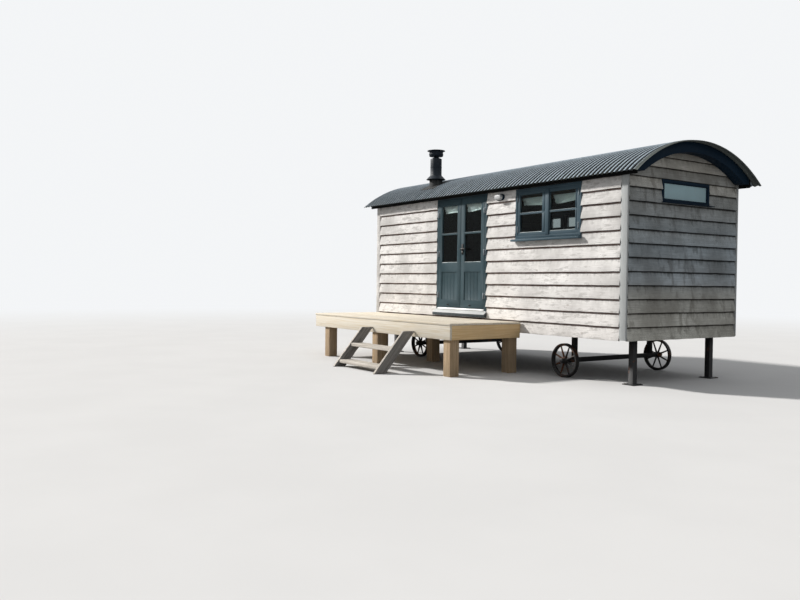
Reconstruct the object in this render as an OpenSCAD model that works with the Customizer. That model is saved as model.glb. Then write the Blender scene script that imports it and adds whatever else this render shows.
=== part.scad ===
// Shepherds hut on cast iron wheels, with a raised timber deck and steps.
// The hut is built around its own front wall: y = 0 is the outer face of the
// corner boards on the door side, and at_hut() moves it into the part's frame.
// Origin: centre of the whole outline, at floor level. +X along the hut,
// +Y from the door side to the back, +Z up. All sizes in millimetres.

/* [Body] */
// Length over the end walls
body_length = 5700; // [4800:10:6200]
// Width over the side walls
body_width = 2260; // [2000:10:2500]
// Height of the lowest edge of the weatherboards above the ground
cladding_bottom = 575; // [500:5:620]
// Thickness of every wall
wall_thickness = 100; // [80:1:120]
// Room for the weatherboards in front of the wall's own face
cladding_depth = 30; // [26:1:36]
// Exposed height of one weatherboard
board_course = 171; // [120:1:220]
// Exposed height of one weatherboard on the end walls
end_course = 172.7; // [120:0.1:220]
// Exposed height of the weatherboards in the gables
gable_course = 136.5; // [110:0.5:180]
// Depth of a weatherboard's lower edge, which stands proud of the corner boards
board_butt = 38; // [24:1:42]
// Depth of a weatherboard's upper edge
board_tip = 8; // [4:1:12]
// Width of a corner board
corner_width = 100; // [70:1:120]
// Thickness of a corner board
corner_thickness = 28; // [22:1:36]
// Height of the finished floor above the ground
floor_top = 845; // [820:5:880]
// Thickness of the floor
floor_thickness = 110; // [60:5:130]

/* [Roof] */
// Radius of the roof over the crests of the sheet
roof_radius = 1950; // [1800:10:2300]
// Height of the sheet's crest at the eaves
eaves_height = 2628; // [2600:1:2700]
// Reach of the sheet past the side walls
eaves_reach = 139; // [110:1:180]
// Reach of the sheet past the end walls
gable_reach = 254; // [220:1:280]
// Distance from crest to crest of the corrugated sheet
sheet_pitch = 76.2; // [60:0.1:100]
// Height of the corrugations
sheet_depth = 18; // [12:0.5:22]
// Thickness of the sheet
sheet_thickness = 1.6; // [1:0.1:3]
// Thickness of the boards under the sheet
roof_thickness = 30; // [20:1:40]
// Boards across the roof's curve
roof_boards = 24; // [16:1:40]
// Depth of the curved barge boards
barge_depth = 130; // [90:1:160]
// Thickness of the barge boards
barge_thickness = 25; // [18:1:32]
// Distance from the end wall to the outer face of the barge board
barge_reach = 150; // [100:1:170]
// Height of the barge boards' lower ends above the ground
barge_foot = 2635; // [2610:1:2680]
// Thickness of the soffit boards between the barge boards and the end walls
soffit_thickness = 12; // [9:1:18]
// Thickness of the eaves boards
eaves_board_thickness = 27; // [18:1:32]
// Height of the lower edge of the eaves boards above the ground
eaves_board_bottom = 2592; // [2586:1:2600]

/* [Doors] */
// Centre of the doorway along the hut
door_centre = -398; // [-600:1:0]
// Width over the door frame
door_frame_width = 1236; // [1000:1:1400]
// Width of a jamb
jamb_width = 45; // [35:1:60]
// Height of the head
door_head = 40; // [30:1:42]
// Top of the door frame above the ground
door_frame_top = 2620; // [2560:1:2630]
// Thickness of a door leaf
leaf_thickness = 40; // [35:1:44]
// Gap around each leaf
leaf_gap = 5; // [4:0.5:6]
// Gap between the two leaves
meeting_gap = 9; // [8:0.5:12]
// Gap between the leaves and the threshold
threshold_gap = 7; // [5:1:10]
// Width of the rebate that the leaves close against
stop_width = 15; // [10:1:20]
// Width of the stile that carries the hinges
hinge_stile = 80; // [60:1:100]
// Width of the stile where the leaves meet
meeting_stile = 85; // [60:1:110]
// Height of the top rail
top_rail = 95; // [70:1:120]
// Height of the bottom rail
bottom_rail = 123; // [90:1:150]
// Height of the boarded panel
panel_height = 436; // [300:1:520]
// Height of the middle rail
middle_rail = 147; // [90:1:170]
// Height of a glazing bar
glazing_bar = 24; // [18:1:40]
// Depth of the step from the stiles to the boarded panel
panel_recess = 9; // [5:1:12]
// Boards in each panel
panel_boards = 5; // [3:1:7]
// Depth of the V joints between the panel's boards
vee_depth = 4; // [2:0.5:6]
// Thickness of the sealed glass units
glass_thickness = 18; // [6:1:24]
// Length of a hinge knuckle
hinge_length = 90; // [60:1:110]
// Radius of a hinge knuckle
hinge_radius = 6; // [5:0.5:6.5]
// Distance of the hinge pin in front of the leaf
hinge_offset = 7; // [7:0.5:10]
// Heights of the hinges above the ground
hinge_heights = [1068, 1723, 2348];
// Height of the lever handle above the floor
handle_height = 940; // [850:5:1000]
// Reach of the metal threshold past the leaves
threshold_nose = 15; // [5:1:30]
// Height of the metal threshold
threshold_height = 23; // [15:1:30]
// Reach of the door sill past the wall
door_sill_reach = 60; // [30:1:80]
// Thickness of the door sill
door_sill_thickness = 100; // [60:1:110]
// Thickness of the door sill at its nose
door_sill_nose = 46; // [30:1:55]

/* [Windows] */
// Centre of the front window along the hut
front_window_centre = 1472; // [1300:1:1800]
// Centre of the back window along the hut
back_window_centre = -372; // [-1200:1:1200]
// Width of the front window
window_width = 1245; // [900:1:1300]
// Height of the front window
window_height = 700; // [500:1:720]
// Lower edge of the front window above the ground
window_bottom = 1892; // [1700:1:1900]
// Width of the back window
back_window_width = 752; // [600:1:1200]
// Height of the back window
back_window_height = 336; // [300:1:500]
// Lower edge of the back window above the ground
back_window_bottom = 2147; // [1900:1:2200]
// Width of the back window's middle post
back_window_post = 76; // [50:1:100]
// Width of the end window
end_window_width = 962; // [700:1:1200]
// Height of the end window
end_window_height = 285; // [200:1:300]
// Lower edge of the end window above the ground
end_window_bottom = 2309; // [2200:1:2400]
// Width of the window frames
frame_width = 38; // [30:1:50]
// Depth of the window frames
frame_depth = 80; // [60:1:80]
// Width of the casements' stiles and rails
casement_width = 45; // [35:1:60]
// Thickness of the casements
casement_thickness = 42; // [36:1:50]
// Thickness of the window sills
sill_thickness = 38; // [25:1:50]
// Thickness of the end window's sill
end_sill_thickness = 12; // [10:1:50]
// Reach of the window sills past the wall
sill_reach = 70; // [40:1:90]
// How far the window sills run past the frame at each side
sill_ear = 28; // [0:1:40]
// Height of a folded blind
blind_height = 125; // [80:1:160]
// Distance of the front window's blinds below its frame's head
window_blind_drop = 84; // [0:1:120]
// Gap between the front window's two blinds
window_blind_gap = 80; // [40:1:160]
// Thickness of a folded blind
blind_thickness = 30; // [20:1:36]

/* [Flue] */
// Place of the flue along the hut
flue_x = -1480; // [-2200:1:-1200]
// Distance of the flue from the front of the hut
flue_y = 300; // [280:1:900]
// Radius of the flue pipe
flue_radius = 95; // [60:1:100]
// Wall of the flue pipe
flue_wall = 3; // [2:0.5:6]
// Height of the top of the cowl above the ground
flue_top = 3491; // [3400:1:3700]
// Radius of the cowl's cap
cap_radius = 150; // [125:1:170]
// Radius of the cowl's drum
drum_radius = 116; // [100:1:120]
// Height of the cowl's drum
drum_height = 105; // [60:1:120]
// Radius of the neck under the drum
neck_radius = 43; // [35:1:55]
// Height of the neck under the drum
neck_height = 20; // [15:1:50]
// Height of the shoulder on top of the pipe
shoulder_height = 26; // [20:1:40]
// Radius of the storm collar at its rim
collar_radius = 160; // [130:1:180]
// Height of the storm collar
collar_height = 74; // [50:1:90]
// Height of the storm collar's rim above the ground
collar_bottom = 2996; // [2985:1:3040]
// Side of the flashing on the roof
flashing_side = 350; // [330:1:420]

/* [Light] */
// Distance from the door frame to the centre of the light
light_gap = 312; // [200:1:420]
// Height of the centre of the light above the ground
light_z = 2510; // [2400:1:2530]
// Width of the light
light_width = 165; // [120:1:190]
// Height of the light
light_height = 94; // [80:1:110]
// Reach of the light past the weatherboards
light_reach = 75; // [50:1:90]

/* [Running gear] */
// Diameter of a wheel
wheel_diameter = 460; // [400:1:480]
// Width of a wheel's tyre
wheel_width = 65; // [50:1:75]
// Thickness of the rim
rim_thickness = 22; // [16:1:30]
// Width of the rib inside the rim
rib_width = 20; // [14:1:30]
// Depth of the rib inside the rim
rib_depth = 14; // [8:1:20]
// Number of spokes
spokes = 8; // [6:1:12]
// Width of a spoke
spoke_width = 26; // [18:1:32]
// Thickness of a spoke's web
spoke_thickness = 9; // [7:1:14]
// Depth of a spoke's ribs along the axle
spoke_depth = 30; // [20:1:40]
// Radius of the hub
hub_radius = 46; // [40:1:60]
// Length of the hub
hub_length = 110; // [90:1:120]
// Radius of the axle's stub
stub_radius = 22; // [16:1:26]
// Gap between the stub and the hub's bore
bore_clearance = 0.3; // [0.1:0.05:0.5]
// Distance of each axle from the middle of the hut
axle_x = 1690; // [1400:10:2000]
// Distance of the wheels' middle plane from the side of the hut
wheel_inset = 170; // [160:1:200]
// Side of the axle beam
axle_beam = 60; // [50:1:80]
// Height of the chassis rails
rail_height = 150; // [120:1:150]
// Width of the chassis rails' flanges
rail_width = 70; // [50:1:90]
// Thickness of the chassis rails
rail_wall = 8; // [5:1:12]
// Distance of the chassis rails from the side of the hut
rail_inset = 350; // [320:1:450]
// Number of cross members
cross_members = 7; // [4:1:9]
// Side of a cross member
cross_side = 80; // [50:1:100]
// Side of a prop leg
prop_side = 75; // [50:1:90]
// Distance of the prop legs from the ends of the hut
prop_inset = 170; // [140:5:400]
// Side of a prop leg's foot plate
foot_side = 180; // [140:5:220]
// Thickness of a prop leg's foot plate
foot_thickness = 12; // [8:1:20]

/* [Deck] */
// Distance of the deck's left end from the hut's left end
deck_inset = 40; // [0:5:200]
// Length of the deck along the hut
deck_length = 3795; // [3300:5:4200]
// Depth of the deck from the hut to its front
deck_depth = 1250; // [1000:1:1500]
// Height of the deck above the ground
deck_top = 718; // [690:1:730]
// Thickness of the deck boards
deck_board_thickness = 28; // [22:1:32]
// Width of a deck board
deck_board_width = 145; // [95:1:150]
// Gap between deck boards
deck_board_gap = 5; // [3:0.5:8]
// How far the deck boards run past the fascia
deck_nose = 8; // [0:1:15]
// Height of the deck's fascia
fascia_height = 195; // [150:1:220]
// Thickness of the deck's fascia
fascia_thickness = 34; // [25:1:45]
// Depth of a deck joist
joist_depth = 95; // [80:1:97]
// Width of a deck joist
joist_width = 45; // [38:1:50]
// Number of deck joists
joists = 8; // [6:1:10]
// Depth of the bearers under the joists
bearer_depth = 95; // [80:1:97]
// Width of the bearers
bearer_width = 70; // [45:1:100]
// Side of a deck post
post_side = 150; // [100:1:160]
// Distances of the deck posts from the deck's left end
post_places = [350, 1870, 3686];

/* [Steps] */
// Width over the two strings
steps_width = 1160; // [900:1:1250]
// Thickness of a string
string_thickness = 45; // [35:1:55]
// Width of the board that a string is cut from
string_board = 153; // [130:1:180]
// Height of the strings
string_height = 575; // [500:1:600]
// Slope of the strings in degrees
string_slope = 50.2; // [45:0.1:60]
// Height of the top of the lower tread
first_tread = 105; // [90:1:200]
// Rise from tread to tread
tread_rise = 240; // [200:1:250]
// Thickness of a tread
tread_thickness = 50; // [35:1:60]
// Number of treads
treads = 2; // [1:1:2]

/* [Hidden] */

// Joint between pieces that sit against each other
seat = 0.3;
// Length past a face that a cut runs
cut = 5;
// Smoothness of round pieces and of the large roof curves
$fn = 48;
roof_fn = 180;

// Outer edge of the weatherboards, seen from the corner boards' face
butt_face = min(0, cladding_depth - board_butt);

// Roof curve: all its layers share one centre line
half_width = body_width / 2;
half_span = half_width + eaves_reach;
roof_centre_z = eaves_height - sqrt(pow(roof_radius, 2) - pow(half_span, 2));
boarding_outer = roof_radius - sheet_depth - sheet_thickness - seat;
boarding_inner = boarding_outer - roof_thickness;
wall_top_radius = boarding_inner - seat;
sheet_half_angle = asin(half_span / roof_radius);
sheet_length = body_length + 2 * gable_reach;
eaves_board_back = half_width - butt_face + seat;
eaves_board_face = eaves_board_back + eaves_board_thickness;
boarding_half_angle = asin((eaves_board_back - seat) / boarding_inner);
barge_face = body_length / 2 + barge_reach;
steps_per_wave = 8;

// Plan of the whole outline
string_run = string_height / tan(string_slope);
string_depth = string_board / sin(string_slope);
step_reach = deck_depth + string_run + string_depth + seat;
front_y = (step_reach - body_width - eaves_reach) / 2;

// Walls
half_length = body_length / 2;
wall_end_x = half_length - corner_width;
full_rows = floor((end_window_bottom + end_window_height - cladding_bottom) / end_course);
cladding_rows = full_rows
    + ceil((roof_centre_z + roof_radius - row_height(full_rows, end_course)) / gable_course);
inner_x = half_length - wall_thickness;

// Doorway
door_left = door_centre - door_frame_width / 2;
door_right = door_centre + door_frame_width / 2;
leaf_width = (door_frame_width - 2 * jamb_width - 2 * leaf_gap - meeting_gap) / 2;
leaf_bottom = floor_top + threshold_height + threshold_gap;
leaf_top = door_frame_top - door_head - leaf_gap;
leaf_height = leaf_top - leaf_bottom;
leaf_edge = door_frame_width / 2 - jamb_width - leaf_gap;
hinge_place = leaf_edge + leaf_gap / 2;
glass_width = leaf_width - hinge_stile - meeting_stile;
glass_bottom = leaf_bottom + bottom_rail + panel_height + middle_rail;
pane_height = (leaf_top - top_rail - glass_bottom - glazing_bar) / 2;
light_x = door_right + light_gap;
sill_top = floor_top;
sill_bottom = sill_top - door_sill_thickness;
handle_z = floor_top + handle_height;

// Casements: where the right one starts from the window's middle, and its size
casement_start = seat / 2;
casement_span = (window_width - 2 * frame_width - 3 * seat) / 2;
casement_height = window_height - 2 * frame_width - 2 * seat;
back_casement_start = back_window_post / 2 + seat;
back_casement_span = back_window_width / 2 - frame_width - seat - back_casement_start;
back_casement_height = back_window_height - 2 * frame_width - 2 * seat;

// Deck and steps
deck_left = -half_length + deck_inset;
deck_right = deck_left + deck_length;
deck_back = butt_face - seat;
fascia_top = deck_top - deck_board_thickness;
joist_bottom = fascia_top - joist_depth;
bearer_bottom = joist_bottom - seat - bearer_depth;
post_rows = [-fascia_thickness - post_side / 2,
    -deck_depth + fascia_thickness + seat + post_side / 2];

// Running gear
wheel_radius = wheel_diameter / 2;
rail_top = floor_top - floor_thickness;
rail_bottom = rail_top - rail_height;
beam_end = wheel_inset + hub_length / 2 + leaf_gap;

// Moves the hut from its own front wall into the part's frame
module at_hut() {
    translate([0, front_y, 0]) children();
}

// A block between two corners
module block(low, high) {
    translate(low) cube(high - low);
}

// The same piece at the front and, turned over, at the back of the hut
module front_and_back() {
    children();
    translate([0, body_width, 0]) mirror([0, 1, 0]) children();
}

// The same piece at the right end and at the left end of the hut
module both_ends() {
    children();
    mirror([1, 0, 0]) children();
}

// An outline in Y and Z, drawn out along X about the hut's middle
module along_hut(length) {
    rotate([90, 0, 90]) linear_extrude(length, center = true) children();
}

// A full disc around the roof's centre line, drawn in Y and Z
module roof_disc(radius) {
    translate([half_width, roof_centre_z]) circle(r = radius, $fn = roof_fn);
}

// Keeps only what lies under the boarded roof
module under_roof() {
    intersection() {
        children();
        along_hut(sheet_length) roof_disc(wall_top_radius);
    }
}

// Outline of a wall with lapped weatherboards on its face at x = 0
function board_rows(course) = [for (row = [0:cladding_rows - 1], step = [0, 1])
    [cladding_depth - (step == 0 ? board_butt : board_tip), row_height(row + step, course)]];

// Height of a lap: the boards in the gables are narrower
function row_height(row, course) = cladding_bottom + min(row, full_rows) * course
    + max(0, row - full_rows) * (course == end_course ? gable_course : course);

module clad_outline(course) {
    polygon(concat(board_rows(course), [[wall_thickness, row_height(cladding_rows, course)],
        [wall_thickness, cladding_bottom]]));
}

// A clad wall along X whose face looks to the front
module clad_side_wall(from_x, to_x) {
    translate([(from_x + to_x) / 2, 0, 0]) along_hut(to_x - from_x)
        clad_outline(board_course);
}

// A clad wall along Y whose face looks to +X
module clad_end_wall() {
    length = body_width - 2 * corner_thickness;
    under_roof() translate([half_length, corner_thickness + length, 0]) mirror([1, 0, 0])
        rotate([90, 0, 0]) linear_extrude(length) clad_outline(end_course);
}

module front_opening(centre, width, bottom, height) {
    block([centre - width / 2, butt_face - cut, bottom],
        [centre + width / 2, wall_thickness + cut, bottom + height]);
}

module front_wall_left() {
    color("tan") at_hut() under_roof() clad_side_wall(-wall_end_x, door_left - seat);
}

module front_wall_right() {
    color("tan") at_hut() under_roof() difference() {
        clad_side_wall(door_right + seat, wall_end_x);
        front_opening(front_window_centre, window_width + 2 * seat,
            window_bottom - sill_thickness - seat, window_height + sill_thickness + 2 * seat);
    }
}

// The wall over the doorway and the low piece under its sill
module front_wall_at_door() {
    color("tan") at_hut() under_roof() difference() {
        clad_side_wall(door_left, door_right);
        front_opening(door_centre, door_frame_width + 2 * cut, sill_bottom - seat,
            door_frame_top - sill_bottom + 2 * seat);
    }
}

module back_wall() {
    color("tan") at_hut() translate([0, body_width, 0]) mirror([0, 1, 0])
        under_roof() difference() {
            clad_side_wall(-wall_end_x, wall_end_x);
            front_opening(back_window_centre, back_window_width + 2 * seat,
                back_window_bottom - sill_thickness - seat,
                back_window_height + sill_thickness + 2 * seat);
        }
}

module left_end_wall() {
    color("tan") at_hut() mirror([1, 0, 0]) clad_end_wall();
}

module right_end_wall() {
    hole_width = end_window_width + 2 * seat;
    hole_height = end_window_height + end_sill_thickness + 2 * seat;
    color("tan") at_hut() difference() {
        clad_end_wall();
        translate([inner_x - cut, half_width - hole_width / 2,
            end_window_bottom - end_sill_thickness - seat])
            cube([wall_thickness - butt_face + 2 * cut, hole_width, hole_height]);
    }
}

module corner_boards() {
    color("lightgray") at_hut() under_roof() front_and_back() both_ends()
        block([wall_end_x, 0, cladding_bottom],
            [half_length, corner_thickness - seat, eaves_height + sheet_depth + cladding_depth]);
}

module floor() {
    color("burlywood") at_hut()
        block([-inner_x + seat, wall_thickness + seat, rail_top],
            [inner_x - seat, body_width - wall_thickness - seat, floor_top]);
}

// Boards along the hut under the sheet, cut upright behind the eaves boards,
// with a hole for the flue
module roof_boarding() {
    board_angle = 2 * boarding_half_angle / roof_boards;
    color("burlywood") at_hut() difference() {
        along_hut(2 * (barge_face - barge_thickness - seat)) for (i = [0:roof_boards - 1])
            intersection() {
                difference() {
                    roof_disc(boarding_outer);
                    roof_disc(boarding_inner);
                }
                roof_sector(-boarding_half_angle + i * board_angle, board_angle);
                translate([half_width - eaves_board_back + seat, eaves_board_bottom])
                    square([2 * (eaves_board_back - seat), roof_radius]);
            }
        flue_hole();
    }
}

// Wedge about the roof's centre line, narrower by a joint at the boards.
// Angles are measured from upright, towards the back.
module roof_sector(from_angle, angle) {
    joint = seat / roof_radius * 180 / PI;
    reach = 2 * roof_radius;
    low = from_angle + joint / 2;
    high = from_angle + angle - joint / 2;
    translate([half_width, roof_centre_z])
        polygon([[0, 0], reach * [sin(low), cos(low)], reach * [sin(high), cos(high)]]);
}

module flue_hole() {
    translate([flue_x, flue_y, roof_centre_z])
        cylinder(h = roof_radius, r = flue_radius + seat);
}

// Section of the corrugated sheet: crest to crest along the hut
function sheet_line(radius) = [for (i = [0:sheet_steps()])
    let (x = -sheet_length / 2 + i * sheet_length / sheet_steps())
    [radius - sheet_depth / 2 * (1 - cos(360 * x / sheet_pitch)), x]];

function sheet_steps() = round(sheet_length / sheet_pitch * steps_per_wave);

function backwards(points) = [for (i = [len(points) - 1:-1:0]) points[i]];

// Curved sheet: the wavy section turned about the roof's centre line
module corrugated_roof() {
    color("slategray") at_hut() difference() {
        translate([0, half_width, roof_centre_z])
            rotate([0, 90, 0]) rotate([0, 0, 180 - sheet_half_angle])
            rotate_extrude(angle = 2 * sheet_half_angle, $fn = roof_fn)
            polygon(concat(sheet_line(roof_radius),
                backwards(sheet_line(roof_radius - sheet_thickness))));
        flue_hole();
    }
}

// Curved board under each end of the sheet, cut level at its feet
module barge_outline() {
    intersection() {
        difference() {
            roof_disc(boarding_outer);
            roof_disc(boarding_outer - barge_depth);
        }
        translate([half_width - eaves_board_back + seat, barge_foot])
            square([2 * (eaves_board_back - seat), roof_radius]);
    }
}

// Board that closes the overhang from below, along the barge board's lower edge
module soffit_outline() {
    difference() {
        barge_outline();
        difference() {
            translate([half_width - roof_radius, barge_foot + soffit_thickness])
                square(2 * roof_radius);
            roof_disc(boarding_outer - barge_depth + soffit_thickness);
        }
    }
}

module barge_boards() {
    soffit_back = half_length - butt_face + seat;
    soffit_front = barge_face - barge_thickness - seat;
    color("darkslategray") at_hut() both_ends() {
        translate([barge_face - barge_thickness / 2, 0, 0])
            along_hut(barge_thickness) barge_outline();
        translate([(soffit_back + soffit_front) / 2, 0, 0])
            along_hut(soffit_front - soffit_back) soffit_outline();
    }
}

module eaves_boards() {
    color("darkslategray") at_hut() front_and_back()
        along_hut(2 * barge_face) intersection() {
            roof_disc(boarding_outer);
            translate([half_width - eaves_board_face, eaves_board_bottom])
                square([eaves_board_thickness, roof_radius]);
        }
}

// Pipe from the ceiling to its shoulder, with the storm collar on it
module flue_pipe() {
    shoulder_bottom = flue_top - drum_height - neck_height - shoulder_height;
    pipe_bottom = roof_centre_z + sqrt(pow(boarding_inner, 2)
        - pow(half_width - flue_y - flue_radius, 2));
    color([0.12, 0.15, 0.19]) at_hut() translate([flue_x, flue_y, 0]) rotate_extrude()
        polygon([
            [flue_radius - flue_wall, pipe_bottom],
            [flue_radius, pipe_bottom],
            [flue_radius, collar_bottom + collar_height - flue_wall],
            [collar_radius, collar_bottom],
            [collar_radius, collar_bottom + flue_wall],
            [flue_radius, collar_bottom + collar_height],
            [flue_radius, shoulder_bottom],
            [neck_radius, shoulder_bottom + shoulder_height],
            [neck_radius, shoulder_bottom + shoulder_height + neck_height],
            [neck_radius - flue_wall, shoulder_bottom + shoulder_height + neck_height],
            [neck_radius - flue_wall, shoulder_bottom + shoulder_height],
            [flue_radius - flue_wall, shoulder_bottom]]);
}

// Apron that follows the roof, with a boot around the pipe
module flue_flashing() {
    apron_thickness = 4;
    boot_foot = flue_radius + 14;
    boot_top = collar_bottom - cut;
    color([0.1, 0.12, 0.15]) at_hut() difference() {
        union() {
            intersection() {
                along_hut(2 * half_length) difference() {
                    roof_disc(roof_radius + seat + apron_thickness);
                    roof_disc(roof_radius + seat);
                }
                translate([flue_x, flue_y, roof_centre_z + roof_radius])
                    cube([flashing_side, flashing_side, roof_radius], center = true);
            }
            difference() {
                translate([flue_x, flue_y, 0]) rotate_extrude()
                    polygon([[0, roof_centre_z + roof_radius * 0.5],
                        [boot_foot, roof_centre_z + roof_radius * 0.5],
                        [boot_foot, boot_top - 3 * cut],
                        [flue_radius + 4, boot_top], [0, boot_top]]);
                along_hut(2 * half_length) roof_disc(roof_radius + seat);
            }
        }
        translate([flue_x, flue_y, 0]) cylinder(h = 2 * roof_radius, r = flue_radius + seat);
    }
}

// Cowl: a drum with a band, open under its cap
module flue_cowl() {
    drum_bottom = flue_top - drum_height;
    cap_thickness = 14;
    color([0.12, 0.15, 0.19]) at_hut() translate([flue_x, flue_y, 0]) rotate_extrude()
        polygon([
            [0, drum_bottom + seat],
            [drum_radius - 6, drum_bottom + seat],
            [drum_radius, drum_bottom + 10],
            [drum_radius, drum_bottom + 24],
            [drum_radius + 5, drum_bottom + 28],
            [drum_radius + 5, drum_bottom + 36],
            [drum_radius, drum_bottom + 40],
            [drum_radius, flue_top - cap_thickness],
            [cap_radius, flue_top - cap_thickness],
            [cap_radius, flue_top - cap_thickness / 2],
            [cap_radius * 0.7, flue_top],
            [0, flue_top]]);
}

// Oval bulkhead light, its back scribed to the lapped boards
module bulkhead_light() {
    plate = 14;
    border = 10;
    color("silver") at_hut() difference() {
        translate([light_x, cladding_depth, light_z]) rotate([90, 0, 0]) union() {
            linear_extrude(cladding_depth - butt_face + plate) light_outline(light_height / 2);
            linear_extrude(cladding_depth - butt_face + light_reach)
                light_outline(light_height / 2 - border);
        }
        translate([0, -seat, 0])
            clad_side_wall(light_x - light_width, light_x + light_width);
    }
}

module light_outline(radius) {
    shift = light_width / 2 - light_height / 2;
    union() {
        square([2 * shift, 2 * radius], center = true);
        translate([shift, 0]) circle(radius);
        translate([-shift, 0]) circle(radius);
    }
}

// Two jambs and a head, each rebated for the leaves, with the fixed hinge halves
module door_frame() {
    stop_y = leaf_thickness + leaf_gap;
    bottom = sill_top + seat;
    color("slategray") at_hut() translate([door_centre, 0, 0]) {
        both_ends() {
            block([door_frame_width / 2 - jamb_width, 0, bottom],
                [door_frame_width / 2, wall_thickness, door_frame_top - door_head - seat]);
            block([door_frame_width / 2 - jamb_width - stop_width, stop_y, bottom],
                [door_frame_width / 2 - jamb_width, wall_thickness,
                    door_frame_top - door_head - stop_width - 2 * seat]);
        }
        block([-door_frame_width / 2, 0, door_frame_top - door_head],
            [door_frame_width / 2, wall_thickness, door_frame_top]);
        for (z = hinge_heights)
            both_ends() translate([hinge_place, 0, z]) hinge_half([0, 2]);
        block([-door_frame_width / 2 + jamb_width + seat, stop_y,
                door_frame_top - door_head - stop_width],
            [door_frame_width / 2 - jamb_width - seat, wall_thickness, door_frame_top - door_head]);
    }
}

// Weathered sill that slopes to a nose in front of the wall
module door_sill() {
    width = door_frame_width + 2 * sill_ear;
    color("darkslategray") at_hut() difference() {
        translate([door_centre, 0, 0]) along_hut(width)
            polygon([[-door_sill_reach, sill_bottom], [wall_thickness, sill_bottom],
                [wall_thickness, sill_top], [0, sill_top - seat],
                [-door_sill_reach, sill_bottom + door_sill_nose]]);
        both_ends_of_doorway() block([0, butt_face - seat, sill_bottom - cut],
            [sill_ear + cut, wall_thickness + cut, sill_top + cut]);
    }
}

// The same cut outside both edges of the door frame
module both_ends_of_doorway() {
    translate([door_right + seat, 0, 0]) children();
    translate([door_left - seat, 0, 0]) mirror([1, 0, 0]) children();
}

module door_threshold() {
    span = door_frame_width - 2 * jamb_width - 2 * seat;
    back = leaf_thickness;
    color("silver") at_hut() translate([door_centre, 0, 0]) along_hut(span)
        polygon([[-threshold_nose, sill_top + seat], [back, sill_top + seat],
            [back, sill_top + threshold_height], [0, sill_top + threshold_height],
            [-threshold_nose, sill_top + threshold_height / 2]]);
}

// A leaf with two panes over a panel of upright boards.
// Its hinge edge is at x = 0, its outer face at y = 0 and it reaches to +X.
module door_leaf() {
    board = glass_width / panel_boards;
    panel_bottom = leaf_bottom + bottom_rail;
    difference() {
        block([0, 0, leaf_bottom], [leaf_width, leaf_thickness, leaf_top]);
        for (pane = [0, 1])
            block([hinge_stile, -cut, glass_bottom + pane * (pane_height + glazing_bar)],
                [hinge_stile + glass_width, leaf_thickness + cut,
                    glass_bottom + pane * (pane_height + glazing_bar) + pane_height]);
        block([hinge_stile, -cut, panel_bottom],
            [hinge_stile + glass_width, panel_recess, panel_bottom + panel_height]);
        block([hinge_stile, leaf_thickness - panel_recess, panel_bottom],
            [hinge_stile + glass_width, leaf_thickness + cut, panel_bottom + panel_height]);
        for (joint = [1:panel_boards - 1])
            translate([hinge_stile + joint * board, panel_recess, panel_bottom])
                linear_extrude(panel_height)
                polygon([[-vee_depth, -seat], [vee_depth, -seat], [0, vee_depth]]);
    }
    for (z = hinge_heights)
        translate([-leaf_gap / 2, 0, z]) hinge_half([1]);
}

// One half of a hinge about its pin at x = 0: a flap that lies on the face at
// y = 0 and reaches to +X, with its knuckles in the given thirds of the length
module hinge_half(thirds) {
    third = hinge_length / 3;
    flap = 3;
    flap_width = hinge_stile / 3;
    knuckle_room = hinge_radius + 1.5;
    block([knuckle_room, -flap, -hinge_length / 2], [flap_width, 0, hinge_length / 2]);
    for (i = thirds) {
        low = -hinge_length / 2 + i * third + (i > 0 ? seat : 0);
        high = -hinge_length / 2 + (i + 1) * third;
        translate([0, -hinge_offset, low]) cylinder(h = high - low, r = hinge_radius);
        block([0, -flap, low], [knuckle_room, 0, high]);
        block([0, -hinge_offset, low], [flap, -flap, high]);
    }
}

module leaf_glass() {
    middle = leaf_thickness / 2;
    for (pane = [0, 1])
        block([hinge_stile + seat, middle - glass_thickness / 2,
                glass_bottom + pane * (pane_height + glazing_bar) + seat],
            [hinge_stile + glass_width - seat, middle + glass_thickness / 2,
                glass_bottom + pane * (pane_height + glazing_bar) + pane_height - seat]);
}

// Blind folded up on the inside of a leaf
module leaf_blind() {
    block([hinge_stile - cut, leaf_thickness + seat, leaf_top - top_rail - blind_height],
        [hinge_stile + glass_width + cut, leaf_thickness + seat + blind_thickness,
            leaf_top - top_rail + cut]);
}

module place_left_leaf() {
    at_hut() translate([door_centre - leaf_edge, 0, 0]) children();
}

module place_right_leaf() {
    at_hut() translate([door_centre + leaf_edge, 0, 0]) mirror([1, 0, 0]) children();
}

module left_door() {
    color("slategray") place_left_leaf() door_leaf();
}

module left_door_glass() {
    color("lightblue", 0.4) place_left_leaf() leaf_glass();
}

module left_door_blind() {
    color("whitesmoke") place_left_leaf() leaf_blind();
}

module right_door() {
    color("slategray") place_right_leaf() door_leaf();
}

module right_door_glass() {
    color("lightblue", 0.4) place_right_leaf() leaf_glass();
}

module right_door_blind() {
    color("whitesmoke") place_right_leaf() leaf_blind();
}

// Lever handle with a back plate on the right leaf's meeting stile
module door_handle() {
    plate = [42, 7, 160];
    stem_radius = 9;
    lever_length = 110;
    lever_reach = 48;
    color("silver") place_right_leaf()
        translate([leaf_width - meeting_stile / 2, -seat, handle_z]) union() {
            translate([-plate[0] / 2, -plate[1], -plate[2] / 2]) cube(plate);
            translate([0, -lever_reach, 0]) rotate([-90, 0, 0])
                cylinder(h = lever_reach, r = stem_radius);
            translate([0, -lever_reach, 0]) rotate([0, -90, 0])
                cylinder(h = lever_length, r = stem_radius);
            translate([0, -lever_reach, 0]) sphere(stem_radius);
            translate([-lever_length, -lever_reach, 0]) sphere(stem_radius);
        }
}

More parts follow.
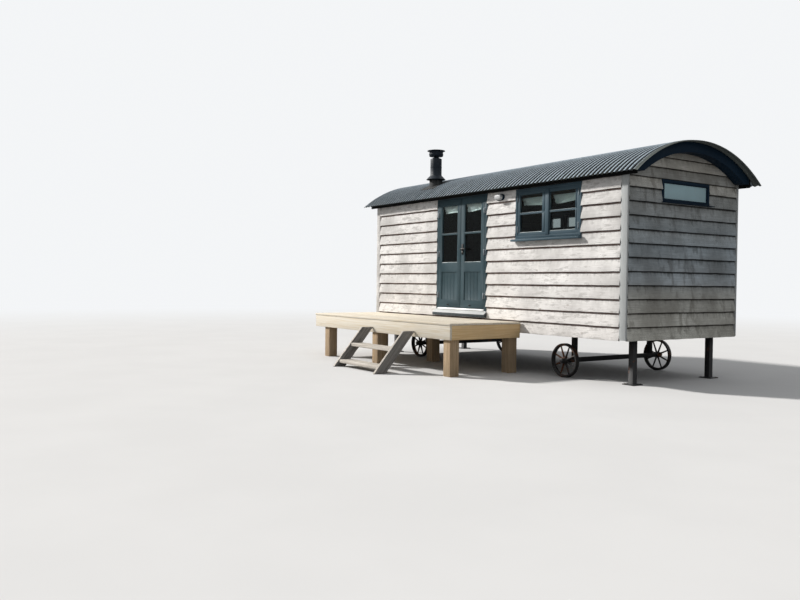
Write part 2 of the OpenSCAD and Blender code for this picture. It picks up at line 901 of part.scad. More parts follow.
// Frame around an opening, seen from the front: width along X, upright in Z
module frame_ring(width, height, section, depth) {
    difference() {
        block([-width / 2, 0, 0], [width / 2, depth, height]);
        block([-width / 2 + section, -cut, section],
            [width / 2 - section, depth + cut, height - section]);
    }
}

// Sill under a window, sloped to the front, its ears in front of the wall
module window_sill(width, thickness) {
    difference() {
        along_hut(width + 2 * sill_ear)
            polygon([[-sill_reach, -thickness], [-sill_reach, -thickness / 3],
                [0, -seat], [frame_depth, -seat], [frame_depth, -thickness]]);
        both_ends() block([width / 2 + seat, butt_face - seat, -thickness - cut],
            [width / 2 + sill_ear + cut, frame_depth + cut, cut]);
    }
}

// Frame of a casement window with the stop that the casements close on
module window_frame(width, height) {
    stop_y = casement_thickness + cut;
    frame_ring(width, height, frame_width, frame_depth);
    difference() {
        block([-width / 2 + frame_width, stop_y, frame_width],
            [width / 2 - frame_width, frame_depth, height - frame_width]);
        block([-width / 2 + frame_width + stop_width, stop_y - cut, frame_width + stop_width],
            [width / 2 - frame_width - stop_width, frame_depth + cut,
                height - frame_width - stop_width]);
    }
}

// The right one of two casements, with or without a glazing bar across it
module casement(start, span, height, bars) {
    difference() {
        block([start, cut - seat, frame_width + seat],
            [start + span, cut - seat + casement_thickness, frame_width + seat + height]);
        casement_panes(start, span, height, bars, 0, casement_thickness / 2 + cut);
    }
}

// Room of a casement's panes, less a gap all round, to both sides of its middle
module casement_panes(start, span, height, bars, gap, reach) {
    middle = cut - seat + casement_thickness / 2;
    pane_height = (height - 2 * casement_width - bars * glazing_bar) / (bars + 1);
    for (pane = [0:bars]) {
        bottom = frame_width + seat + casement_width + pane * (pane_height + glazing_bar);
        block([start + casement_width + gap, middle - reach, bottom + gap],
            [start + span - casement_width - gap, middle + reach, bottom + pane_height - gap]);
    }
}

module at_front_window() {
    at_hut() translate([front_window_centre, 0, window_bottom]) children();
}

module at_back_window() {
    at_hut() translate([back_window_centre, body_width, back_window_bottom])
        mirror([0, 1, 0]) children();
}

module front_window_frame() {
    color("slategray") at_front_window() {
        union() window_frame(window_width, window_height);
        window_sill(window_width, sill_thickness);
        both_ends() casement(casement_start, casement_span, casement_height, 1);
    }
}

module front_window_glass() {
    color("lightblue", 0.4) at_front_window() both_ends()
        casement_panes(casement_start, casement_span, casement_height, 1, seat, glass_thickness / 2);
}

// Two blinds, folded up behind the casements' upper panes
module front_window_blind() {
    top = window_height - frame_width - window_blind_drop;
    color("whitesmoke") at_front_window() both_ends()
        block([window_blind_gap / 2, frame_depth + seat, top - blind_height],
            [window_width / 2 - frame_width - cut, frame_depth + seat + blind_thickness, top]);
}

module back_window_frame() {
    color("slategray") at_back_window() {
        union() {
            window_frame(back_window_width, back_window_height);
            block([-back_window_post / 2, 0, frame_width],
                [back_window_post / 2, frame_depth, back_window_height - frame_width]);
        }
        window_sill(back_window_width, sill_thickness);
        both_ends() casement(back_casement_start, back_casement_span, back_casement_height, 0);
    }
}

module back_window_glass() {
    color("lightblue", 0.4) at_back_window() both_ends() casement_panes(back_casement_start,
        back_casement_span, back_casement_height, 0, seat, glass_thickness / 2);
}

module at_end_window() {
    at_hut() translate([half_length, half_width, end_window_bottom]) rotate([0, 0, 90]) children();
}

module end_window_frame() {
    color("darkslategray") at_end_window() {
        frame_ring(end_window_width, end_window_height, frame_width, frame_depth);
        window_sill(end_window_width, end_sill_thickness);
    }
}

module end_window_glass() {
    color("lightgray", 0.7) at_end_window()
        block([-end_window_width / 2 + frame_width + seat, frame_depth / 2 - glass_thickness,
                frame_width + seat],
            [end_window_width / 2 - frame_width - seat, frame_depth / 2,
                end_window_height - frame_width - seat]);
}

// Two channels along the hut, their open sides facing each other
module chassis_rails() {
    length = body_length - 2 * wall_thickness;
    color("dimgray") at_hut() front_and_back() along_hut(length)
        translate([rail_inset - rail_width / 2, rail_bottom]) difference() {
            square([rail_width, rail_height - seat]);
            translate([rail_wall, rail_wall])
                square([rail_width, rail_height - seat - 2 * rail_wall]);
        }
}

module chassis_cross_members() {
    span = body_length - 2 * wall_thickness - cross_side;
    y = rail_inset - rail_width / 2 + rail_wall + seat;
    z = rail_bottom + rail_wall + (rail_height - 2 * rail_wall - cross_side) / 2;
    color("dimgray") at_hut() for (i = [0:cross_members - 1])
        translate([-span / 2 + i * span / (cross_members - 1), 0, z])
            block([-cross_side / 2, y, 0], [cross_side / 2, body_width - y, cross_side]);
}

// Each axle: a square beam with two round stubs and their end nuts
module axles() {
    nut_y = wheel_inset - hub_length / 2 - leaf_gap;
    nut_height = 14;
    stub_end = 6;
    color("dimgray") at_hut() both_ends() translate([axle_x, 0, wheel_radius]) {
        block([-axle_beam / 2, beam_end, -axle_beam / 2],
            [axle_beam / 2, body_width - beam_end, axle_beam / 2]);
        front_and_back() {
            translate([0, nut_y - nut_height - stub_end, 0]) rotate([-90, 0, 0])
                cylinder(h = beam_end - nut_y + nut_height + stub_end + cut,
                    r = stub_radius - bore_clearance);
            translate([0, nut_y - nut_height, 0]) rotate([-90, 0, 0])
                cylinder(h = nut_height, r = stub_radius + nut_height, $fn = 6);
        }
    }
}

// Four stands between the axle beams and the chassis rails
module axle_stands() {
    color("dimgray") at_hut() front_and_back() both_ends()
        block([axle_x - axle_beam / 2, rail_inset - axle_beam / 2,
                wheel_radius + axle_beam / 2 + seat],
            [axle_x + axle_beam / 2, rail_inset + axle_beam / 2, rail_bottom - seat]);
}

// Cast wheel about its own axis, which lies along Y: a rim with a rib inside,
// a stepped hub and cross-shaped spokes
module wheel() {
    rim_inner = wheel_radius - rim_thickness;
    collar = hub_radius + 8;
    rotate([90, 0, 0]) difference() {
        union() {
            rotate_extrude($fn = 96) polygon([[wheel_radius, -wheel_width / 2],
                [wheel_radius, wheel_width / 2], [rim_inner, wheel_width / 2],
                [rim_inner, rib_width / 2], [rim_inner - rib_depth, rib_width / 2],
                [rim_inner - rib_depth, -rib_width / 2], [rim_inner, -rib_width / 2],
                [rim_inner, -wheel_width / 2]]);
            rotate_extrude() polygon([[0, -hub_length / 2], [hub_radius - cut, -hub_length / 2],
                [hub_radius, -hub_length / 2 + cut], [hub_radius, -wheel_width / 2],
                [collar, -wheel_width / 2], [collar, wheel_width / 2],
                [hub_radius, wheel_width / 2], [hub_radius, hub_length / 2 - cut],
                [hub_radius - cut, hub_length / 2], [0, hub_length / 2]]);
            for (i = [0:spokes - 1]) rotate([0, 0, (i + 0.5) * 360 / spokes]) {
                spoke_bar(spoke_width, spoke_thickness);
                spoke_bar(spoke_thickness, spoke_depth);
            }
        }
        cylinder(h = hub_length + cut, r = stub_radius, center = true);
    }
}

// One bar of a spoke, from inside the hub into the rim
module spoke_bar(width, depth) {
    from = hub_radius - cut;
    translate([from, -width / 2, -depth / 2])
        cube([wheel_radius - rim_thickness + cut - from, width, depth]);
}

module place_wheel(side_x, y) {
    at_hut() translate([side_x * axle_x, y, wheel_radius]) children();
}

module front_left_wheel() {
    color("dimgray") place_wheel(-1, wheel_inset) wheel();
}

module front_right_wheel() {
    color("dimgray") place_wheel(1, wheel_inset) wheel();
}

module back_left_wheel() {
    color("dimgray") place_wheel(-1, body_width - wheel_inset) wheel();
}

module back_right_wheel() {
    color("dimgray") place_wheel(1, body_width - wheel_inset) wheel();
}

module prop_legs() {
    x = half_length - prop_inset;
    color("dimgray") at_hut() front_and_back() both_ends() translate([x, rail_inset, 0]) union() {
        block([-foot_side / 2, -foot_side / 2, 0], [foot_side / 2, foot_side / 2, foot_thickness]);
        block([-prop_side / 2, -prop_side / 2, 0],
            [prop_side / 2, prop_side / 2, rail_bottom - seat]);
    }
}

// Boards along the deck, the last one cut to what is left
module deck_boards() {
    pitch = deck_board_width + deck_board_gap;
    front = -deck_depth - deck_nose;
    count = ceil((deck_back - front) / pitch);
    color("wheat") at_hut() for (i = [0:count - 1])
        block([deck_left - deck_nose, front + i * pitch, fascia_top + seat],
            [deck_right + deck_nose, min(front + i * pitch + deck_board_width, deck_back),
                deck_top]);
}

module deck_fascia() {
    z0 = fascia_top - fascia_height;
    inner_front = -deck_depth + fascia_thickness + seat;
    color("wheat") at_hut() {
        block([deck_left, -deck_depth, z0],
            [deck_right, -deck_depth + fascia_thickness, fascia_top]);
        block([deck_left, inner_front, z0], [deck_left + fascia_thickness, deck_back, fascia_top]);
        block([deck_right - fascia_thickness, inner_front, z0],
            [deck_right, deck_back, fascia_top]);
    }
}

// Joists between the fascia and the hut, on two bearers along the deck
module deck_frame() {
    first = deck_left + fascia_thickness + seat + joist_width / 2;
    last = deck_right - fascia_thickness - seat - joist_width / 2;
    inner_front = -deck_depth + fascia_thickness + seat;
    color("burlywood") at_hut() {
        for (i = [0:joists - 1])
            translate([first + i * (last - first) / (joists - 1), 0, 0])
                block([-joist_width / 2, inner_front, joist_bottom],
                    [joist_width / 2, deck_back, fascia_top]);
        for (y = post_rows)
            block([first - joist_width / 2, y - bearer_width / 2, bearer_bottom],
                [last + joist_width / 2, y + bearer_width / 2, joist_bottom - seat]);
    }
}

module deck_posts() {
    color("peru") at_hut() for (place = post_places, y = post_rows)
        translate([deck_left + place, y, 0])
        block([-post_side / 2, -post_side / 2, 0],
            [post_side / 2, post_side / 2, bearer_bottom - seat]);
}

// Leaning board with level ends
module string_outline() {
    back = -deck_depth - seat;
    polygon([[back, string_height], [back - string_depth, string_height],
        [back - string_depth - string_run, 0], [back - string_run, 0]]);
}

module step_strings() {
    color("gray") at_hut() translate([door_centre, 0, 0]) both_ends()
        translate([(steps_width - string_thickness) / 2, 0, 0])
        along_hut(string_thickness) string_outline();
}

module step_treads() {
    span = steps_width - 2 * string_thickness - 2 * seat;
    foot = -deck_depth - seat - string_depth - string_run;
    color("gray") at_hut() translate([door_centre, 0, 0]) for (i = [0:treads - 1]) {
        top = first_tread + i * tread_rise;
        front = foot + top / tan(string_slope);
        block([-span / 2, front, top - tread_thickness],
            [span / 2, front + string_depth, top]);
    }
}

chassis_rails();
chassis_cross_members();
axles();
axle_stands();
prop_legs();
front_left_wheel();
front_right_wheel();
back_left_wheel();
back_right_wheel();
floor();
front_wall_left();
front_wall_right();
front_wall_at_door();
back_wall();
left_end_wall();
right_end_wall();
corner_boards();
roof_boarding();
corrugated_roof();
barge_boards();
eaves_boards();
flue_pipe();
flue_flashing();
flue_cowl();
bulkhead_light();
door_frame();
door_sill();
door_threshold();
left_door();
left_door_glass();
left_door_blind();
right_door();
right_door_glass();
right_door_blind();
door_handle();
front_window_frame();
front_window_glass();
front_window_blind();
back_window_frame();
back_window_glass();
end_window_frame();
end_window_glass();
deck_boards();
deck_fascia();
deck_frame();
deck_posts();
step_strings();
step_treads();
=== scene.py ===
"""Looks of a shepherds hut on cast iron wheels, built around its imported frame.

Sizes are in metres, in the frame's own axes: +X along the hut, +Y from the door
side to the back and +Z up from the ground.
"""

import logging
import math
import random
from collections.abc import Callable, Iterable, Iterator, Sequence
from contextlib import contextmanager
from dataclasses import dataclass, replace
from enum import Enum
from functools import cache

import bmesh
import bpy
from mathutils import Matrix, Vector


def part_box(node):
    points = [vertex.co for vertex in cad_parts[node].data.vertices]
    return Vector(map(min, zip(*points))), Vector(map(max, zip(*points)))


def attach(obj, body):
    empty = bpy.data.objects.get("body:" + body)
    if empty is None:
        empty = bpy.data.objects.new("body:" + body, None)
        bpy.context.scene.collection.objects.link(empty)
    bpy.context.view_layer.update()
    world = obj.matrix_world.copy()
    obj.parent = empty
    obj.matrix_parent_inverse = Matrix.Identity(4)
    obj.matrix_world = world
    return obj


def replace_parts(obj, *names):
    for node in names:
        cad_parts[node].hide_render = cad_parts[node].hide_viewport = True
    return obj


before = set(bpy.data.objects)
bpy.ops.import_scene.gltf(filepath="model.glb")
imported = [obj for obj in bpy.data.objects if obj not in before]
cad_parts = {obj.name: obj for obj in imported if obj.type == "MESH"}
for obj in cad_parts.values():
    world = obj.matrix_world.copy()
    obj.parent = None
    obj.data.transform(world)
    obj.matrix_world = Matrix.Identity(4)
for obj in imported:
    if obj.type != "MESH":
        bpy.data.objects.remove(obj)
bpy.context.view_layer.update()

LOG = logging.getLogger("hut")
Piece = bpy.types.Object
Socket = bpy.types.NodeSocket
Value = Socket | float
Given = bpy.types.NodeOutputs
Point = tuple[float, float, float]
Colour = Point
Stops = tuple[tuple[float, Colour], ...]
MM = 0.001
HAIR = MM / 10
WELD = MM / 50

ROOT = "hut"
LEFT_LEAF = "left_leaf"
RIGHT_LEAF = "right_leaf"


class Axis(Enum):
    """The way that a grain, a brush mark or a turned piece runs."""

    X = 0
    Y = 1
    Z = 2

    @property
    def upright(self) -> Matrix:
        """Brings something drawn about Z to stand about this axis."""
        turns = (((0, 0, 1), (0, -1, 0), (1, 0, 0)), ((1, 0, 0), (0, 0, 1), (0, -1, 0)),
                 ((1, 0, 0), (0, 1, 0), (0, 0, 1)))
        return Matrix(turns[self.value]).to_4x4()

    @property
    def turn_to_x(self) -> Point:
        """The rotation that brings this axis onto X in a Mapping node."""
        return ((0.0, 0.0, 0.0), (0.0, 0.0, -math.pi / 2), (0.0, math.pi / 2, 0.0))[self.value]

    @property
    def others(self) -> list[int]:
        """Numbers of the two other axes."""
        return [i for i in range(3) if i != self.value]


@dataclass(frozen=True)
class HutPlan:
    """Main places of the hut, read from the frame."""

    front: float
    back: float
    half_length: float
    base: float
    roof_centre_z: float
    roof_radius: float = 1.95
    sheet_pitch: float = 0.0762
    course: float = 0.171
    end_course: float = 0.1727
    gable_course: float = 0.1365
    full_rows: int = 11

    @classmethod
    def from_frame(cls) -> "HutPlan":
        """Reads the corner boards and the roof sheet of the frame.

        Returns:
            The plan.
        """
        low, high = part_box("corner_boards")
        roof_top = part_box("corrugated_roof")[1].z
        return cls(low.y, high.y, high.x, low.z, roof_top - cls.roof_radius)

    @property
    def middle_y(self) -> float:
        """Middle of the hut between its two long sides."""
        return (self.front + self.back) / 2

    @property
    def roof_centre(self) -> Vector:
        """Centre of the roof's arc, half way along the hut."""
        return Vector((0, self.middle_y, self.roof_centre_z))

    def lap(self, row: int, end: bool) -> float:
        """Height of the foot of a row of boards; those in the gables are narrower.

        Args:
            row: Number of the row, from 0 at the foot of the wall.
            end: Whether it is on an end wall.

        Returns:
            The height.
        """
        narrow = max(0, row - self.full_rows) if end else 0
        course = self.end_course if end else self.course
        return self.base + (row - narrow) * course + narrow * self.gable_course


PLAN = HutPlan.from_frame()


# Modelling bench


def deselect() -> None:
    """Leaves edit mode and clears the selection."""
    if bpy.context.mode != "OBJECT":
        bpy.ops.object.mode_set(mode="OBJECT")
    bpy.ops.object.select_all(action="DESELECT")


def grab(*pieces: Piece) -> Piece:
    """Selects only these pieces and gives the first, which becomes the active one.

    Args:
        pieces: The pieces to select.

    Returns:
        The first piece.
    """
    deselect()
    for piece in pieces:
        piece.select_set(True)
    bpy.context.view_layer.objects.active = pieces[0]
    return pieces[0]


def named(piece: Piece, name: str) -> Piece:
    """Names a piece and its mesh."""
    piece.name = piece.data.name = name
    return piece


def fresh(name: str) -> Piece:
    """Names the primitive that was just added and puts its place into its mesh.

    Args:
        name: Name of the piece.

    Returns:
        The piece.
    """
    piece = grab(named(bpy.context.object, name))
    bpy.ops.object.transform_apply(location=True, rotation=True, scale=True)
    return piece


@contextmanager
def picking(piece: Piece, mode: str = "FACE",
            test: Callable[..., bool] | None = None) -> Iterator[None]:
    """Opens a piece in edit mode with some of it selected.

    Args:
        piece: The piece to shape.
        mode: VERT, EDGE or FACE, what the selection works on.
        test: Says by place or normal whether an element is selected; without it all are.

    Yields:
        Nothing; the caller's operators act on the selection.
    """
    grab(piece)
    bpy.ops.object.mode_set(mode="EDIT")
    bpy.ops.mesh.select_mode(type=mode)
    bpy.ops.mesh.select_all(action="DESELECT" if test else "SELECT")
    if test:
        mesh = bmesh.from_edit_mesh(piece.data)
        for element in {"VERT": mesh.verts, "EDGE": mesh.edges, "FACE": mesh.faces}[mode]:
            element.select = bool(test(element))
        mesh.select_flush_mode()
        bmesh.update_edit_mesh(piece.data)
    yield
    bpy.ops.object.mode_set(mode="OBJECT")


def move(piece: Piece, by: Sequence[float], test: Callable[..., bool]) -> None:
    """Moves the verts that pass a test."""
    with picking(piece, "VERT", test):
        bpy.ops.transform.translate(value=by)


def block(name: str, low: Sequence[float], high: Sequence[float]) -> Piece:
    """Adds a block between two corners.

    Args:
        name: Name of the piece.
        low: Lowest corner.
        high: Highest corner.

    Returns:
        The block.
    """
    deselect()
    centre = [(a + b) / 2 for a, b in zip(low, high)]
    bpy.ops.mesh.primitive_cube_add(size=1, location=centre)
    bpy.context.object.scale = [b - a for a, b in zip(low, high)]
    return fresh(name)


def rod(name: str, start: Vector, end: Vector, radius: float, sides: int) -> Piece:
    """Adds a round rod between two points.

    Args:
        name: Name of the piece.
        start: Middle of one end.
        end: Middle of the other end.
        radius: Radius over its corners.
        sides: Number of its sides.

    Returns:
        The rod.
    """
    deselect()
    bpy.ops.mesh.primitive_cylinder_add(
        vertices=sides, radius=radius, depth=(end - start).length, location=(start + end) / 2,
        rotation=(end - start).to_track_quat("Z", "Y").to_euler())
    return fresh(name)


def modify(piece: Piece, kind: str, **settings: object) -> Piece:
    """Adds a modifier and applies it.

    Args:
        piece: The piece to change.
        kind: The modifier's type, such as BEVEL.
        settings: The modifier's own settings.

    Returns:
        The same piece.
    """
    grab(piece)
    modifier = piece.modifiers.new(kind.title(), kind)
    for key, value in settings.items():
        setattr(modifier, key, value)
    bpy.ops.object.modifier_apply(modifier=modifier.name)
    return piece


def carve(piece: Piece, tool: Piece, operation: str = "DIFFERENCE") -> None:
    """Cuts a piece with another one, which is used up."""
    modify(piece, "BOOLEAN", operation=operation, object=tool, solver="MANIFOLD")
    bpy.data.objects.remove(tool)


def ease(piece: Piece, width: float, segments: int = 2) -> Piece:
    """Rounds a piece's sharp edges."""
    return modify(piece, "BEVEL", width=width, segments=segments, limit_method="ANGLE",
                  angle_limit=math.radians(35), use_clamp_overlap=True)


def smooth(piece: Piece, angle: float = 32.0) -> Piece:
    """Shades a piece smooth apart from its sharp edges.

    Args:
        piece: The piece to shade.
        angle: Edges over this many degrees stay sharp.

    Returns:
        The same piece.
    """
    grab(piece)
    bpy.ops.object.shade_smooth_by_angle(angle=math.radians(angle))
    return piece


def roughen(piece: Piece, depth: float, size: float, direction: str = "NORMAL",
            group: str = "") -> None:
    """Moves a piece's surface by a cloudy pattern.

    Args:
        piece: The piece to change.
        depth: Distance from the lowest to the highest point of the pattern.
        size: Size of the pattern's clouds.
        direction: NORMAL, X, Y or Z.
        group: Vertex group that the change is limited to.
    """
    pattern = bpy.data.textures.new(piece.name, "CLOUDS")
    pattern.noise_scale = size
    modify(piece, "DISPLACE", texture=pattern, strength=depth, mid_level=0.5,
           direction=direction, texture_coords="LOCAL", vertex_group=group)
    bpy.data.textures.remove(pattern)


def join(name: str, pieces: Sequence[Piece]) -> Piece:
    """Joins pieces into one with a new name.

    Args:
        name: Name of the joined piece.
        pieces: The pieces, which are used up.

    Returns:
        The joined piece.
    """
    grab(*pieces)
    if len(pieces) > 1:
        bpy.ops.object.join()
    return named(pieces[0], name)


def twin(piece: Piece, name: str, place: Matrix) -> Piece:
    """Copies a piece with its own mesh, and moves the copy's mesh to a place.

    Args:
        piece: The piece to copy.
        name: Name of the copy.
        place: What the copy's mesh is moved by.

    Returns:
        The copy.
    """
    copy = piece.copy()
    copy.data = piece.data.copy()
    bpy.context.collection.objects.link(named(copy, name))
    copy.data.transform(place)
    return copy


def scatter(name: str, seed: Piece, places: Iterable[Matrix]) -> Piece:
    """Makes one piece of many copies of a small one, which is used up.

    Args:
        name: Name of the piece.
        seed: The small piece.
        places: Where its copies go.

    Returns:
        The piece made of the copies.
    """
    copies = [twin(seed, name, place) for place in places]
    bpy.data.objects.remove(seed)
    return join(name, copies)


def lathe(name: str, outline: Sequence[tuple[float, float]], centre: Sequence[float] = (0, 0, 0),
          axis: Axis = Axis.Z, steps: int = 64, angle: float = 2 * math.pi,
          start: float = 0.0) -> Piece:
    """Turns an outline about a line, as on a lathe.

    Args:
        name: Name of the piece.
        outline: Points of (radius, distance along the line).
        centre: A point on the line.
        axis: Direction of the line.
        steps: Steps round the line.
        angle: How far round the outline is taken.
        start: Angle that it starts at.

    Returns:
        The turned piece, closed where the outline is.
    """
    deselect()
    bpy.ops.mesh.primitive_plane_add(size=MM, location=(0, 0, 0))
    piece = bpy.context.object
    bpy.ops.object.mode_set(mode="EDIT")
    bpy.ops.mesh.select_mode(type="VERT")
    bpy.ops.mesh.select_all(action="SELECT")
    bpy.ops.mesh.merge(type="CENTER")
    bpy.ops.transform.translate(value=(outline[0][0], 0, outline[0][1]))
    for (r0, z0), (r1, z1) in zip(outline, outline[1:]):
        bpy.ops.mesh.extrude_vertices_move(
            TRANSFORM_OT_translate={"value": (r1 - r0, 0, z1 - z0)})
    bpy.ops.mesh.select_all(action="SELECT")
    bpy.ops.mesh.spin(steps=steps, angle=-angle, center=(0, 0, 0), axis=(0, 0, 1))
    bpy.ops.mesh.select_all(action="SELECT")
    bpy.ops.mesh.remove_doubles(threshold=WELD)
    bpy.ops.mesh.normals_make_consistent(inside=False)
    bpy.ops.object.mode_set(mode="OBJECT")
    turn = axis.upright @ Matrix.Rotation(start, 4, "Z")
    piece.matrix_world = Matrix.Translation(centre) @ turn
    return fresh(name)


def refine(node: str, edge: float, segments: int = 2) -> Piece:
    """Copies a frame node, merges its triangles into whole faces and eases its edges.

    Args:
        node: The node to copy; the copy then stands for it.
        edge: Width of the eased edges.
        segments: Steps round an eased edge.

    Returns:
        The copy.
    """
    piece = twin(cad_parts[node], node + "_dressed", Matrix.Identity(4))
    for key in [key for key in piece.keys() if key.startswith("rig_")]:
        del piece[key]
    piece.parent = None
    piece.data.materials.clear()
    with picking(piece):
        bpy.ops.mesh.remove_doubles(threshold=WELD)
        bpy.ops.mesh.dissolve_limited(angle_limit=math.radians(1.0))
    ease(piece, edge, segments)
    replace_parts(piece, node)
    return smooth(piece)


def islands(mesh: bmesh.types.BMesh) -> Iterator[list[bmesh.types.BMVert]]:
    """Yields the verts of each loose part of a mesh.

    Args:
        mesh: The mesh.

    Yields:
        The verts of one part.
    """
    done: set[bmesh.types.BMVert] = set()
    for start in mesh.verts:
        if start in done:
            continue
        island = [start]
        done.add(start)
        for vert in island:
            for edge in vert.link_edges:
                other = edge.other_vert(vert)
                if other not in done:
                    done.add(other)
                    island.append(other)
        yield island


def parts_of(node: str) -> list[tuple[Vector, Vector]]:
    """Boxes of the separate solids of a frame node, from low to high.

    Args:
        node: The node.

    Returns:
        The two corners of each box.
    """
    mesh = bmesh.new()
    mesh.from_mesh(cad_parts[node].data)
    bmesh.ops.remove_doubles(mesh, verts=mesh.verts, dist=WELD)
    found = [tuple(Vector([end(v.co[i] for v in island) for i in range(3)]) for end in (min, max))
             for island in islands(mesh)]
    mesh.free()
    return sorted(found, key=lambda part: tuple(round(c, 4) for c in part[0]))


def tag_planks(piece: Piece, seed: int, laps: Sequence[float] = ()) -> Piece:
    """Gives each loose board of a piece its own number, which its grain and tone follow.

    Args:
        piece: The piece to tag.
        seed: Seed of the numbers.
        laps: Heights of the laps, from low to high. With them, each point also gets
            its rise, from 0 at the foot of its board to 1 at the next lap.

    Returns:
        The same piece.
    """
    ragged_foot = 30 * MM
    draw = random.Random(seed)
    mesh = bmesh.new()
    mesh.from_mesh(piece.data)
    plank, rise = (mesh.verts.layers.float.new(key) for key in ("plank", "rise"))
    for island in islands(mesh):
        number = draw.random()
        foot = min(vert.co.z for vert in island)
        row = max((i for i, lap in enumerate(laps[:-1]) if lap < foot + ragged_foot), default=0)
        for vert in island:
            vert[plank] = number
            if laps:
                vert[rise] = (vert.co.z - laps[row]) / (laps[row + 1] - laps[row])
    mesh.to_mesh(piece.data)
    mesh.free()
    return piece


# Node layout


class Sheet:
    """Lays out the nodes of one material, world or node group."""

    def __init__(self, tree: bpy.types.NodeTree) -> None:
        """Takes the tree to fill."""
        self.tree = tree

    def feed(self, node: bpy.types.Node, inputs: dict) -> bpy.types.Node:
        """Sets or links a node's inputs, by name or number; a colour needs no alpha.

        Args:
            node: The node.
            inputs: Values or sockets by input.

        Returns:
            The same node.
        """
        for key, value in inputs.items():
            socket = node.inputs[key]
            if isinstance(value, Socket):
                self.tree.links.new(value, socket)
            else:
                socket.default_value = (*value, 1.0) if socket.type == "RGBA" else value
        return node

    def add(self, kind: str, inputs: dict | None = None, **settings: object) -> bpy.types.Node:
        """Adds a node.

        Args:
            kind: The node's type, without the ShaderNode before it.
            inputs: Values or sockets by input name or number.
            settings: The node's own settings.

        Returns:
            The node.
        """
        node = self.tree.nodes.new("ShaderNode" + kind)
        for key, value in settings.items():
            setattr(node, key, value)
        return self.feed(node, inputs or {})

    def math(self, kind: str, a: Value, b: Value = 0.0) -> Socket:
        """Puts two values through a Math node."""
        return self.add("Math", {0: a, 1: b}, operation=kind).outputs[0]

    def times(self, a: Value, b: Value) -> Socket:
        """Multiplies two values."""
        return self.math("MULTIPLY", a, b)

    def plus(self, a: Value, b: Value) -> Socket:
        """Adds two values."""
        return self.math("ADD", a, b)

    def vector(self, kind: str, a: object, b: Value) -> Socket:
        """Scales a vector by a value, or adds another vector to it."""
        return self.add("VectorMath", {0: a, 3 if kind == "SCALE" else 1: b},
                        operation=kind).outputs[0]

    def level(self, value: Socket, low: float, high: float,
              to: tuple[float, float] = (0.0, 1.0)) -> Socket:
        """Brings a value from one range to another, smoothly and clamped."""
        return self.add("MapRange", {0: value, 1: low, 2: high, 3: to[0], 4: to[1]},
                        interpolation_type="SMOOTHSTEP").outputs[0]

    def noise(self, vector: Socket, scale: float = 1.0, detail: float = 4.0,
              roughness: float = 0.55, distortion: float = 0.0) -> Socket:
        """Adds a cloudy pattern."""
        return self.add("TexNoise", {
            "Vector": vector, "Scale": scale, "Detail": detail, "Roughness": roughness,
            "Distortion": distortion}).outputs[0]

    def stretch(self, vector: Socket, scale: Point = (1, 1, 1), turn: Point = (0, 0, 0)) -> Socket:
        """Scales and turns a vector."""
        return self.add("Mapping", {"Vector": vector, "Scale": scale,
                                    "Rotation": turn}).outputs[0]

    def mix(self, factor: Value, a: object, b: object, kind: str = "MIX") -> Socket:
        """Mixes two colours, given as sockets or (red, green, blue)."""
        return self.add("Mix", {0: factor, 6: a, 7: b}, data_type="RGBA",
                        blend_type=kind).outputs[2]

    def choose(self, mask: Socket, off: Value, on: Value) -> Socket:
        """Gives one of two values by a mask of 0 or 1."""
        return self.add("Mix", {0: mask, 2: off, 3: on}, data_type="FLOAT").outputs[0]

    def grey(self, value: Socket) -> Socket:
        """Turns a value into a grey."""
        return self.add("CombineColor", {0: value, 1: value, 2: value}).outputs[0]

    def ramp(self, value: Socket, stops: Stops) -> Socket:
        """Turns a value into a colour along stops of (place, colour).

        Args:
            value: The value.
            stops: The stops, from low to high.

        Returns:
            The colour.
        """
        node = self.add("ValToRGB", {0: value})
        ends = node.color_ramp.elements
        while len(ends) < len(stops):
            ends.new(0.5)
        for element, (place, colour) in zip(ends, stops):
            element.position = place
            element.color = (*colour, 1.0)
        return node.outputs[0]

    def bump(self, height: Socket, depth: float, **normal: Socket) -> Socket:
        """Turns a height into a normal; depth is in metres."""
        return self.add("Bump", {"Height": height, "Distance": depth, **normal}).outputs[0]

    def place(self) -> Socket:
        """The point being shaded, in the frame's own axes."""
        return self.add("TexCoord").outputs["Object"]

    def part(self, vector: Socket, axis: Axis) -> Socket:
        """One coordinate of a vector."""
        return self.add("SeparateXYZ", {0: vector}).outputs[axis.value]

    def attribute(self, name: str) -> Socket:
        """A number that the piece's points carry."""
        return self.add("Attribute", attribute_name=name).outputs["Fac"]

    def soil(self, place: Socket, size: float) -> Given:
        """Places the soiling group and gives its masks."""
        return self.add("Group", {"Vector": place, "Size": size}, node_tree=SOILING).outputs


def new_group(name: str, inputs: dict[str, float | None],
              layout: Callable[[Sheet, Given], dict[str, Socket]],
              outputs: Sequence[str]) -> bpy.types.NodeTree:
    """Makes a node group with named sockets.

    Args:
        name: Name of the group.
        inputs: Default of each value that it takes, by name; None stands for a vector.
        layout: Lays out the nodes from the input sockets and gives the outputs by name.
        outputs: Names of the values that it puts out.

    Returns:
        The group's tree.
    """
    tree = bpy.data.node_groups.new(name, "ShaderNodeTree")
    for label, value in inputs.items():
        kind = "NodeSocketVector" if value is None else "NodeSocketFloat"
        socket = tree.interface.new_socket(label, in_out="INPUT", socket_type=kind)
        if value is not None:
            socket.default_value = value
    for label in outputs:
        tree.interface.new_socket(label, in_out="OUTPUT", socket_type="NodeSocketFloat")
    sheet = Sheet(tree)
    given = tree.nodes.new("NodeGroupInput").outputs
    sheet.feed(tree.nodes.new("NodeGroupOutput"), layout(sheet, given))
    return tree


